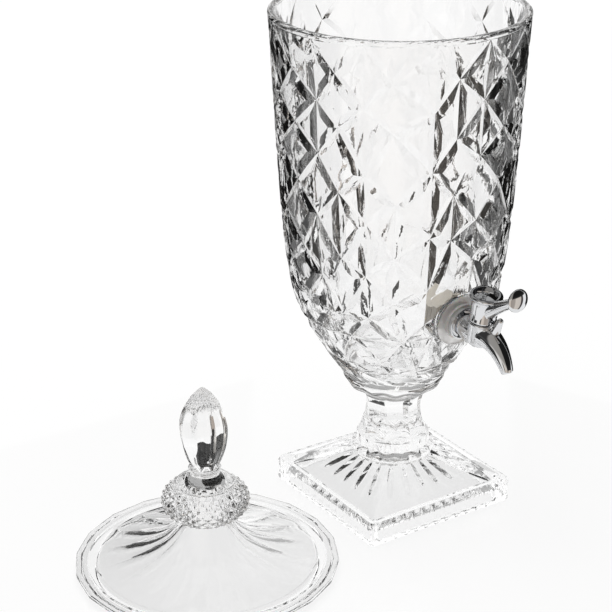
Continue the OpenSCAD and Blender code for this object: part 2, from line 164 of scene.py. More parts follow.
class UrnFinishes(bpy.types.PropertyGroup):
    """Colours of the materials."""
    glass: colour("Glass", "Body colour of the clear soda-lime glass", "#FDFDFD")
    chrome: colour("Chrome", "Colour of the chrome plating", "#DFE0E2")
    silicone: colour("Silicone", "Colour of the clear silicone", "#F8F8F5")
    ivory: colour("Ivory plastic", "Colour of the nut and its washer", "#F8F1E4")
    white: colour("White plastic", "Colour of the valve's plastic pieces", "#EEEDEA")
    rubber: colour("Black rubber", "Colour of the O-rings", "#1B1B1C")
    steel: colour("Zinc-plated steel", "Colour of the handle's screw", "#A9ABAE")
    floor: colour("Floor", "Colour of the studio floor", "#626262")


SIZES = {"urn_bowl": UrnBowlSizes, "urn_foot": UrnFootSizes, "urn_lid": UrnLidSizes, "urn_tap": UrnTapSizes,
         "urn_finish": UrnFinishes}


# ---- curves and surfaces -------------------------------------------------------------

def bezier(control, count):
    """count + 1 points of a cubic Bezier curve.

    The four control points are weighted (1-t)^3, 3t(1-t)^2, 3t^2(1-t) and t^3.
    """
    c = np.asarray(control, float)
    t = np.linspace(0, 1, count + 1)[:, None]
    return (1 - t) ** 3 * c[0] + 3 * (1 - t) ** 2 * t * c[1] + 3 * (1 - t) * t ** 2 * c[2] + t ** 3 * c[3]


def arc(centre, radius, start, end, count):
    """count + 1 points of the arc centre + radius (cos a, sin a), a from start to end in degrees."""
    a = np.radians(np.linspace(start, end, count + 1))
    return np.asarray(centre, float) + radius * np.stack([np.cos(a), np.sin(a)], -1)


def offset_left(points, distance):
    """Each point moved by distance to the left of the curve's direction there."""
    p = np.asarray(points, float)
    along = np.vstack([p[1:2] - p[0:1], p[2:] - p[:-2], p[-1:] - p[-2:-1]])
    along /= np.linalg.norm(along, axis=1, keepdims=True)
    return p + distance * np.stack([-along[:, 1], along[:, 0]], -1)


def turned(radius, height, angles, centre=(0, 0)):
    """Points (x0 + r cos a, y0 + r sin a, z), with r and z given for each row or each row and angle."""
    r = np.asarray(radius, float)
    z = np.asarray(height, float)
    r = r[:, None] if r.ndim == 1 else r
    z = z[:, None] if z.ndim == 1 else z
    r, z, a = np.broadcast_arrays(r, z, angles[None, :])
    return np.stack([centre[0] + r * np.cos(a), centre[1] + r * np.sin(a), z], -1)


def ring_faces(rows, columns, first=0):
    """Quads between closed rings: column j of row i joins column j + 1, the last joins the first."""
    index = first + np.arange(rows * columns).reshape(rows, columns)
    right = np.roll(index, -1, axis=1)
    return np.stack([index[:-1], right[:-1], right[1:], index[1:]], -1).reshape(-1, 4)


def fan_faces(point, ring):
    """Triangles from one point to each edge of a closed ring of vertex numbers."""
    return np.stack([np.full(len(ring), point), ring, np.roll(ring, -1)], -1)


def outward(points, faces):
    """The faces, all turned round if the volume they enclose comes out negative.

    The volume is a sixth of the sum of a . (b x c) over the triangles that fan each face.
    """
    total = 0.0
    for block in faces:
        a = points[block[:, 0]]
        for k in range(1, block.shape[1] - 1):
            b, c = points[block[:, k]], points[block[:, k + 1]]
            total += np.einsum("ij,ij->", a, np.cross(b, c))
    return faces if total > 0 else [block[:, ::-1] for block in faces]


def piece(name, points, faces, sharp=30.0):
    """A mesh object at the origin from points and blocks of faces; edges over sharp degrees stay crisp."""
    faces = outward(points, faces)
    mesh = bpy.data.meshes.new(name)
    mesh.from_pydata(points.tolist(), [], [face for block in faces for face in block.tolist()])
    mesh.validate()
    obj = bpy.data.objects.new(name, mesh)
    bpy.context.scene.collection.objects.link(obj)
    mesh.polygons.foreach_set("use_smooth", np.ones(len(mesh.polygons), bool))
    mesh.set_sharp_from_angle(angle=math.radians(sharp))
    mesh.update()
    return obj


def closed_rings(name, rings, sharp=30.0):
    """A closed piece from rings (rows, columns, 3) whose first and last rows shrink to one point each."""
    rows, columns = rings.shape[:2]
    body = rings[1:-1].reshape(-1, 3)
    points = np.vstack([body, rings[0].mean(0)[None], rings[-1].mean(0)[None]])
    count = len(body)
    last_row = np.arange(count - columns, count)
    faces = [ring_faces(rows - 2, columns),
             fan_faces(count, np.arange(columns)[::-1]),
             fan_faces(count + 1, last_row)]
    return piece(name, points, faces, sharp)


def seam(obj, low, high):
    """Gives the faces that lie wholly between the heights low and high the second material slot."""
    mesh = obj.data
    z = np.empty(len(mesh.vertices) * 3)
    mesh.vertices.foreach_get("co", z)
    z = z[2::3]
    inside = (z > low) & (z < high)
    slots = np.array([all(inside[v] for v in p.vertices) for p in mesh.polygons], int)
    mesh.polygons.foreach_set("material_index", slots)


def steps(values, seed):
    """Repeatable scatter between -1 and 1: twice the fraction of 43758.5453 sin(12.9898 v + seed), less 1."""
    raw = np.sin(12.9898 * np.asarray(values, float) + 78.233 * seed) * 43758.5453
    return 2 * (raw - np.floor(raw)) - 1


# ---- bowl ----------------------------------------------------------------------------

def bowl_side(b, f):
    """Outside of the bowl's wall, (radius, height) from seam to rim: two Bezier curves meet at the hip."""
    hip = np.array([b.hip_r, b.hip_z])
    lean = np.array([4.5, 25]) * MM
    under = bezier([[f.cup_r, f.seam_z],
                    [0.53 * f.cup_r + 0.47 * b.hip_r, f.seam_z + 0.36 * (b.hip_z - f.seam_z)],
                    hip - lean, hip], 24)
    upright = bezier([hip, hip + 1.7 * lean,
                      [b.rim_r - 4 * MM, b.rim_z - 0.36 * (b.rim_z - b.hip_z)],
                      [b.rim_r, b.rim_z]], 48)
    return np.vstack([under, upright[1:]])


def cutting_net(b):
    """Junctions of the grooves as (angle, height) and the cells between them.

    Columns of junctions stand round the bowl, alternate ones half a step lower, with a
    scatter on each. Below the hip every second column runs on, so the cells widen into
    the long star points under the bowl. A cell is a triangle of junctions.
    """
    n = b.columns
    column = np.arange(n)
    odd = (column + 1) % 2
    top = b.rim_z - 3.6 * MM
    base = b.hip_z + 3 * MM
    pitch = (top - base) / 4.5
    row = np.arange(6)[:, None]
    height = base + pitch * (row - 0.5 * odd)
    height += 6 * MM * steps(column + 31 * row, 1)
    # The junctions by the tap, column by column, off the even spacing
    height[1:5, :3] = (base + pitch * (row - 0.5 * odd))[1:5, :3] + np.array(
        [[-7, 10, 13], [-8, 1, 0], [-3, -2, 4], [-4, -3, 1]]) * MM
    height[0] = base + 7 * MM * steps(column, 2) - 5 * MM * odd
    height[-1] = top + 0 * column
    angle = NET_START + 2 * math.pi / n * (column + 0.16 * steps(column, 3))
    angle = angle + 0.1 * 2 * math.pi / n * steps(column + 17 * row, 4)
    angle[:, :4] = np.radians([-110, -99, -85, -70])
    upper = np.stack([angle, height], -1)

    half = n // 2
    k = np.arange(half)
    mid = NET_START + 2 * math.pi / half * k
    low_angle = np.stack([mid + math.pi / half * s for s in (1.0, 0.0, 1.0)])
    low_angle = low_angle + 0.1 * steps(k + 7 * np.arange(3)[:, None], 5)
    low_height = np.array([148, 122, 106])[:, None] * MM + np.array([6, 4, 0.0])[:, None] * MM * steps(
        k + 5 * np.arange(3)[:, None], 6)
    lower = np.stack([low_angle, low_height], -1)

    points = np.vstack([lower[::-1].reshape(-1, 2), upper.reshape(-1, 2)])
    low = np.arange(3 * half).reshape(3, half)[::-1]
    up = 3 * half + np.arange(6 * n).reshape(6, n)
    cells = []
    for i in range(5):
        a, c = up[i], up[i + 1]
        a2, c2 = np.roll(a, -1), np.roll(c, -1)
        rising = np.stack([a, a2, c], -1), np.stack([a2, c2, c], -1)
        falling = np.stack([a, a2, c2], -1), np.stack([a, c2, c], -1)
        cells += [np.where(odd[:, None] == 1, p, q) for p, q in zip(rising, falling)]
    hip = up[0]
    a, a1, a2 = hip[0::2], hip[1::2], np.roll(hip[0::2], -1)
    row0 = low[0]
    cells += [np.stack([row0, a1, a], -1), np.stack([row0, a2, a1], -1),
              np.stack([row0, np.roll(row0, -1), a2], -1)]
    for upper_row, lower_row, shift in ((low[0], low[1], -1), (low[1], low[2], 0)):
        near = np.roll(lower_row, shift)
        far = np.roll(near, 1 if shift else -1)
        if shift:
            cells += [np.stack([upper_row, far, near], -1),
                      np.stack([upper_row, near, np.roll(upper_row, -1)], -1)]
        else:
            cells += [np.stack([upper_row, near, far], -1),
                      np.stack([upper_row, far, np.roll(upper_row, -1)], -1)]
    return points, np.vstack(cells), low[2], up[-1]


def on_side(place, depth, side):
    """Points at (angle, height), sunk by depth below the bowl's side along its normal."""
    angle, height = place[..., 0], place[..., 1]
    radius = np.interp(height, side[:, 1], side[:, 0])
    slope = np.interp(height, side[:-1, 1], np.diff(side[:, 0]) / np.diff(side[:, 1]))
    normal = np.stack([np.cos(angle), np.sin(angle), -slope], -1)
    normal /= np.linalg.norm(normal, axis=-1, keepdims=True)
    return np.stack([radius * np.cos(angle), radius * np.sin(angle), height], -1) - depth[..., None] * normal


def groove_line(net, ends, cut, side, parts):
    """parts + 1 points along the bottom of the groove between each pair of junctions.

    Junctions are cut deepest. One edge in four is left almost uncut between its ends, so
    that two cells run into one.
    """
    place = net[ends]
    turn = (place[:, 1, 0] - place[:, 0, 0] + math.pi) % (2 * math.pi) - math.pi
    place[:, 1, 0] = place[:, 0, 0] + turn
    t = np.linspace(0, 1, parts + 1)
    line = place[:, :1] * (1 - t)[None, :, None] + place[:, 1:] * t[None, :, None]
    upright = np.abs(turn) < 0.07
    odd = (ends.min(1) - len(net)) % 2 == 1
    wanted = steps(ends.min(1) * 0.37 + ends.max(1), 7) > np.where(upright, np.where(odd, 0.6, -0.6), -0.75)
    middle = np.clip(np.minimum(t, 1 - t) * 5, 0, 1)
    depth = cut[ends[:, :1]] * (1 - t) + cut[ends[:, 1:]] * t
    depth = depth * (1 - np.where(wanted, 0.0, 0.96)[:, None] * middle)
    return on_side(line, depth, side)


def triangle_grid(parts):
    """Row and column numbers of a triangular grid with parts steps along each side."""
    return np.nonzero(np.add.outer(np.arange(parts + 1), np.arange(parts + 1)) <= parts)


def cell_points(net, cells, cut, bevel, side, parts, top):
    """The points of every cell: a triangle grid on its face, then the grooves on its three sides.

    The face is the cell drawn in by the bevel's width on each side, and keeps the
    bowl's own curve: corner + (w2 a + w1 b) / |a x b|, with a and b the unit vectors
    along the two sides and w1 and w2 the widths there.
    """
    place = net[cells]
    turn = (place[:, :, 0] - place[:, :1, 0] + math.pi) % (2 * math.pi) - math.pi
    radius = np.interp(place[:, :, 1].mean(1), side[:, 1], side[:, 0])[:, None]
    flat = np.stack([turn * radius, place[:, :, 1]], -1)
    ahead = np.roll(flat, -1, 1) - flat
    size = np.linalg.norm(ahead, axis=2, keepdims=True)
    area = np.abs(ahead[:, 0, 0] * ahead[:, 1, 1] - ahead[:, 0, 1] * ahead[:, 1, 0])
    width = bevel * (1 + 0.22 * steps(cells + 0.5 * np.roll(cells, -1, 1), 8))
    width = np.where(np.isin(cells, top) & np.isin(np.roll(cells, -1, 1), top), 0.12 * bevel, width)
    width = np.minimum(width, 0.66 * (area / size.sum((1, 2)))[:, None])
    a = ahead / size
    b = -np.roll(a, 1, 1)
    cross = np.abs(a[..., 0] * b[..., 1] - a[..., 1] * b[..., 0])
    behind = np.roll(width, 1, 1)
    inset = flat + (behind[..., None] * a + width[..., None] * b) / cross[..., None]
    i, j = triangle_grid(parts)
    share = np.stack([parts - i - j, i, j], -1) / parts
    grid = np.einsum("pk,ckd->cpd", share, inset)
    grid[..., 0] = place[:, :1, 0] + grid[..., 0] / radius
    face = on_side(grid, np.zeros(grid.shape[:2]), side)
    sides = [groove_line(net, np.stack([cells[:, k], cells[:, (k + 1) % 3]], -1), cut, side, parts)
             for k in range(3)]
    return np.concatenate([face, *sides], 1)


def cell_faces(parts):
    """Faces of one cell, numbered as cell_points numbers its points: triangles, then the bevels."""
    table = np.full((parts + 1, parts + 1), -1)
    i, j = triangle_grid(parts)
    table[i, j] = np.arange(len(i))
    up = i + j < parts
    down = i + j < parts - 1
    face = np.vstack([np.stack([table[i[up], j[up]], table[i[up] + 1, j[up]], table[i[up], j[up] + 1]], -1),
                      np.stack([table[i[down] + 1, j[down]], table[i[down] + 1, j[down] + 1],
                                table[i[down], j[down] + 1]], -1)])
    k = np.arange(parts + 1)
    edges = [table[k, 0], table[parts - k, k], table[0, parts - k]]
    bevels = []
    for number, edge in enumerate(edges):
        groove = len(i) + number * (parts + 1) + k
        bevels.append(np.stack([groove[:-1], groove[1:], edge[1:], edge[:-1]], -1))
    return face, np.vstack(bevels)


def welded(points, faces):
    """Points that share a place become one; faces follow."""
    _, first, same = np.unique(np.round(points / 1e-8).astype(np.int64), axis=0, return_index=True,
                               return_inverse=True)
    same = same.reshape(-1)
    return points[first], [same[block] for block in faces]


def bowl_points(b, f):
    """All points and faces of the cut bowl.

    The outside is the net of cells: smooth faces that keep the bowl's curve, with mitred
    grooves between them. The rounded rim, the inside and the foot of the bowl are turned
    rings whose radius and height follow the profile.
    """
    parts = 6
    side = bowl_side(b, f)
    net, cells, bottom, top = cutting_net(b)
    place = net[cells]
    turn = (place[:, :, 0] - place[:, :1, 0] + math.pi) % (2 * math.pi) - math.pi
    rise = place[:, :, 1] - place[:, :1, 1]
    back = turn[:, 1] * rise[:, 2] - turn[:, 2] * rise[:, 1] < 0
    cells = np.where(back[:, None], cells[:, [0, 2, 1]], cells)
    cut = b.cut * np.ones(len(net))
    cut[top] = 0.25 * MM
    cut[bottom] = 0.7 * MM
    block = cell_points(net, cells, cut, b.bevel, side, parts, top)
    number = block.shape[1] * np.arange(len(cells))[:, None, None]
    faces = [(part[None] + number).reshape(-1, part.shape[1]) for part in cell_faces(parts)]

    rings = {}
    for name, row in (("top", top), ("bottom", bottom)):
        line = groove_line(net, np.stack([row, np.roll(row, -1)], -1), cut, side, parts)[:, :-1]
        rings[name] = line.reshape(-1, 3)
    start = NET_START
    mouth_r = b.rim_r - b.wall
    r = b.rim_round
    ledge_z = net[top, 1].mean() + 0.5 * MM
    inner = offset_left(side, b.wall)
    inner = inner[(inner[:, 1] > f.seam_z + b.floor_t + 10 * MM) & (inner[:, 1] < b.rim_z - r)]
    first = inner[0]
    base = f.seam_z + b.floor_t
    dish = bezier([[0, base], [0.5 * first[0], base], [0.8 * first[0], base + 2 * MM], first], 12)
    smooth = side[(side[:, 1] > ledge_z + 0.5 * MM) & (side[:, 1] < b.rim_z - r)]
    up = np.vstack([[[np.interp(ledge_z, side[:, 1], side[:, 0]), ledge_z]], smooth,
                    arc([b.rim_r - r, b.rim_z - r], r, 0, 90, 6),
                    arc([mouth_r + r, b.rim_z - r], r, 90, 180, 6),
                    inner[::-1], dish[-2:0:-1]])
    n = len(rings["top"])
    up_rings = np.concatenate([rings["top"][None], turned(up[:, 0], up[:, 1],
                                                          start + 2 * math.pi / n * np.arange(n))])
    ledge_z = net[bottom, 1].mean() - 1.2 * MM
    down = np.array([[np.interp(ledge_z, side[:, 1], side[:, 0]), ledge_z], [f.cup_r, f.seam_z]])
    m = len(rings["bottom"])
    low_start = start + 2 * math.pi / len(bottom)
    down_rings = np.concatenate([rings["bottom"][None], turned(
        down[:, 0], down[:, 1], low_start + 2 * math.pi / m * np.arange(m))])

    up_first = block.shape[0] * block.shape[1]
    down_first = up_first + up_rings.shape[0] * n
    poles = down_first + down_rings.shape[0] * m
    points = np.vstack([block.reshape(-1, 3), up_rings.reshape(-1, 3), down_rings.reshape(-1, 3),
                        [[0, 0, base], [0, 0, f.seam_z]]])
    faces += [ring_faces(up_rings.shape[0], n, up_first),
              fan_faces(poles, down_first - n + np.arange(n)),
              ring_faces(down_rings.shape[0], m, down_first)[:, ::-1],
              fan_faces(poles + 1, (poles - m + np.arange(m))[::-1])]
    return welded(points, faces)


def tap_frame(b, f):
    """Matrix of the tap's frame: +X away from the glass along the shank, +Z up the valve."""
    side = bowl_side(b, f)
    tap_z = 167.7 * MM
    tap_r = np.interp(tap_z, side[:, 1], side[:, 0]) + b.boss_out
    return (Matrix.Translation((0, -tap_r, tap_z)) @ Matrix.Rotation(math.radians(8.5), 4, "X")
            @ Matrix.Rotation(math.radians(-90), 4, "Z"))


def placed(points, matrix):
    """Points carried by a 4 x 4 matrix."""
    m = np.array(matrix)
    return points @ m[:3, :3].T + m[:3, 3]


def boolean(obj, tool, operation):
    """The piece cut by or joined to a closed tool, with the tool removed afterwards."""
    cut = obj.modifiers.new(operation, "BOOLEAN")
    cut.operation = operation
    cut.object = tool
    cut.solver = "EXACT"
    graph = bpy.context.evaluated_depsgraph_get()
    mesh = bpy.data.meshes.new_from_object(obj.evaluated_get(graph))
    obj.modifiers.clear()
    old, obj.data = obj.data, mesh
    bpy.data.meshes.remove(old)
    data = tool.data
    bpy.data.objects.remove(tool)
    bpy.data.meshes.remove(data)


class URN_OT_bowl(bpy.types.Operator):
    """Build the cut-glass bowl with its tap boss"""
    bl_idname = "urn.bowl"
    bl_label = "Cut bowl"

    def execute(self, context):
        b, f = context.scene.urn_bowl, context.scene.urn_foot
        points, faces = bowl_points(b, f)
        bowl = piece("bowl_cut_glass", points, faces, 12)

        around = np.linspace(0, 2 * math.pi, 97)[:-1]
        m = tap_frame(b, f)

        def disc(name, profile):
            """A closed turned tool whose axis is the shank: profile is (radius, place along the shank)."""
            profile = np.asarray(profile) * MM
            rings = turned(profile[:, 0], profile[:, 1], around)[..., [2, 1, 0]]
            return closed_rings(name, placed(rings.reshape(-1, 3), m).reshape(rings.shape))

        side = bowl_side(b, f)
        inner = offset_left(side, b.wall - 0.3 * MM)
        inner = inner[inner[:, 1] > 0.13]
        hollow = closed_rings("hollow", turned(
            np.concatenate([[0], inner[:, 0], [0]]),
            np.concatenate([[inner[0, 1]], inner[:, 1], [inner[-1, 1]]]), around))
        r = b.boss_r / MM
        boss = disc("boss", [[0, -14], [r, -14], [r, -0.8], [r - 0.25, -0.25], [r - 0.8, 0], [0, 0]])
        boolean(boss, hollow, "DIFFERENCE")
        boolean(bowl, boss, "UNION")
        hole = b.hole_r / MM
        boolean(bowl, disc("hole", [[0, -20], [hole, -20], [hole, 4], [0, 4]]), "DIFFERENCE")
        bowl.data.polygons.foreach_set("use_smooth", np.ones(len(bowl.data.polygons), bool))
        bowl.data.set_sharp_from_angle(angle=math.radians(12))
        bowl.data.materials.clear()
        bowl.data.materials.append(glass(context))
        bowl.data.materials.append(bonded_seam())
        bowl.data.materials.append(satin_glass(context))
        seam(bowl, f.seam_z - 0.1 * MM, f.seam_z + 0.1 * MM)
        face_middle = np.empty(len(bowl.data.polygons) * 3)
        bowl.data.polygons.foreach_get("center", face_middle)
        slots = np.empty(len(bowl.data.polygons), np.int32)
        bowl.data.polygons.foreach_get("material_index", slots)
        local = placed(face_middle.reshape(-1, 3), m.inverted())
        slots[(np.abs(local[:, 0]) < 0.1 * MM) & (np.hypot(local[:, 1], local[:, 2]) < b.boss_r)] = 2
        bowl.data.polygons.foreach_set("material_index", slots)
        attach(bowl, "urn")
        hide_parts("bowl")
        return {"FINISHED"}


# ---- pedestal --------------------------------------------------------------------------

def square_radius(half, corner, angles):
    """Distance from the middle to the edge of a square with its corners cut, along each angle."""
    c, s = np.abs(np.cos(angles)), np.abs(np.sin(angles))
    return np.minimum(half / np.maximum(c, s), (2 * half - corner / math.sqrt(2)) / (c + s))


class URN_OT_pedestal(bpy.types.Operator):
    """Build the pedestal: cup, panelled stem, ring of shells, square foot with its cuts and scallops"""
    bl_idname = "urn.pedestal"
    bl_label = "Pedestal"

    def execute(self, context):
        f = context.scene.urn_foot
        n = 800
        a = 2 * math.pi / n * np.arange(n)
        one = np.ones(n)
        top = f.seam_z
        w, ring, edge = f.waist_r, f.ring_r, f.foot_edge

        stem = np.vstack([
            [[f.cup_r, top]],
            [[f.cup_r + 0.5 * MM, top - 0.6 * MM], [f.cup_r + 0.6 * MM, top - 1.6 * MM],
             [f.cup_r - 0.4 * MM, top - 2.2 * MM]],
            bezier(np.array([[f.cup_r - 0.4 * MM, top - 3 * MM], [f.cup_r - 0.6 * MM, top - 7 * MM],
                             [f.cup_r - 4 * MM, top - 10 * MM], [w + 6.5 * MM, top - 11.2 * MM]]), 12),
            bezier(np.array([[w + 5.6 * MM, top - 12.4 * MM], [w - 2 * MM, top - 19 * MM],
                             [w - 2 * MM, top - 38 * MM], [w + 7 * MM, top - 49 * MM]]), 20)])
        # Eight flat panels round the stem: r = r0 cos(22.5 deg) / cos(angle from the panel's middle)
        panel = (a + math.radians(4)) % (math.pi / 4) - math.pi / 8
        flat = math.cos(math.pi / 8) / np.cos(panel)
        z = stem[:, 1:2]
        share = (np.clip((top - 12.5 * MM - z) / (4 * MM), 0, 1)
                 * np.clip((z - (top - 46 * MM)) / (3 * MM), 0, 1))
        r_stem = stem[:, 0:1] * (1 + share * (flat * 1.035 - 1))
        # Soft waves round the lower edge of the cup
        cup = np.clip((top - 2.6 * MM - z) / (4 * MM), 0, 1) * np.clip((z - (top - 12 * MM)) / (3 * MM), 0, 1)
        r_stem = r_stem - cup * 1.2 * MM * np.abs(np.sin(6 * a + 0.3)) ** 1.5

        shell = np.abs(np.cos(0.5 * f.petals * a))
        arc_r = arc([ring - 4.5 * MM, edge + 21 * MM], 4.5 * MM, 80, -60, 12)
        lobes = 0.4 + 0.6 * np.sin(np.radians(np.linspace(20, 160, 13)))[:, None]
        r_ring = arc_r[:, 0:1] - 2.6 * MM * (1 - shell) * lobes
        z_ring = arc_r[:, 1:2] + 1.2 * MM * (shell - 0.5) * lobes

        # Foot's top: loft from the circle under the ring to the square border, hollowed a little
        half = f.foot_w / 2 - f.foot_border
        square = square_radius(half, f.foot_corner, a)
        circle = (ring - 4 * MM) * one
        t = np.linspace(0, 1, 41)[1:, None]
        r_top = circle + (square - circle) * t
        z_top = (edge + 16.5 * MM) + (edge + 0.4 * MM - edge - 16.5 * MM) * t ** 0.93
        ray = (a * f.rays / (2 * math.pi)) % 1 - 0.5
        across = ray * 2 * math.pi / f.rays * r_top
        reach = np.clip((t - 0.02) / 0.68, 0, 1)
        width = 2.6 * MM * np.sqrt(1 - np.abs(2 * reach - 1) ** 3) + 1e-6
        z_top = z_top - 1.7 * MM * np.clip(1 - np.abs(across) / width, 0, 1) * (reach > 0) * (reach < 1) * (
            width / (2.6 * MM))

        # Upright edge: scallops along its upper and lower edges
        outer = square_radius(f.foot_w / 2, f.foot_corner, a)
        along = np.where(np.abs(np.cos(a)) > np.abs(np.sin(a)),
                         outer * np.sin(a), outer * np.cos(a))
        wave = np.abs(np.sin(math.pi * along / f.scallop))
        rows = [
            (square * (1 + 0.5 * MM / half), edge - 0.3 * MM + 0 * a),
            (outer - 2.6 * MM, edge - 0.1 * MM + 0 * a),
            (outer - 1.5 * MM - 0.4 * MM * wave, edge - 0.2 * MM + 0 * a),
            (outer - 0.35 * MM - 2.1 * MM * (1 - wave), edge - 1.1 * MM - 1.3 * MM * wave),
            (outer - 0.1 * MM - 1.5 * MM * (1 - wave), edge - 3.4 * MM - 0.8 * MM * wave),
            (outer - 0.9 * MM, edge - 4.7 * MM + 0 * a),
            (outer - 0.9 * MM, 5.4 * MM + 0 * a),
            (outer - 0.1 * MM - 1.6 * MM * (1 - wave), 4.2 * MM - 0.7 * MM * (1 - wave)),
            (outer - 0.3 * MM - 1.8 * MM * (1 - wave), 1.7 * MM + 0 * a),
            (outer - 1.6 * MM, 0.0 + 0 * a),
        ]
        inner_half = f.foot_w / 2 - f.foot_wall
        inner = square_radius(inner_half, f.foot_corner, a)
        roof = edge - f.foot_wall
        rows += [
            (inner + 0.8 * MM, 0 * a),
            (inner, 0.8 * MM + 0 * a),
            (inner - 0.5 * MM, roof - 1 * MM + 0 * a),
            (inner - 1.6 * MM, roof + 0 * a),
        ]
        t = np.linspace(0, 1, 13)[1:, None]
        inner_top = square_radius(inner_half - 2 * MM, f.foot_corner, a)
        small = 14 * MM * one
        r_roof = inner_top + (small - inner_top) * t
        z_roof = roof + edge * (t * (inner_half - 2 * MM - 14 * MM) / (inner_half - 2 * MM) / 0.7)

        r_edge = np.array([r for r, _ in rows])
        z_edge = np.array([q for _, q in rows])
        r_all = np.vstack([0 * one[None], r_stem, r_ring, r_top, r_edge, r_roof, 0 * one[None]])
        z_all = np.vstack([top * one[None], z * one, z_ring, z_top, z_edge, z_roof * one, z_roof[-1:] * one])
        pedestal = closed_rings("pedestal_cut_glass", turned(r_all, z_all, a), 22)
        pedestal.data.materials.append(glass(context))
        pedestal.data.materials.append(bonded_seam())
        seam(pedestal, top - 0.1 * MM, top + 0.1 * MM)
        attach(pedestal, "urn")
        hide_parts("pedestal")
        return {"FINISHED"}


# ---- lid ---------------------------------------------------------------------------------

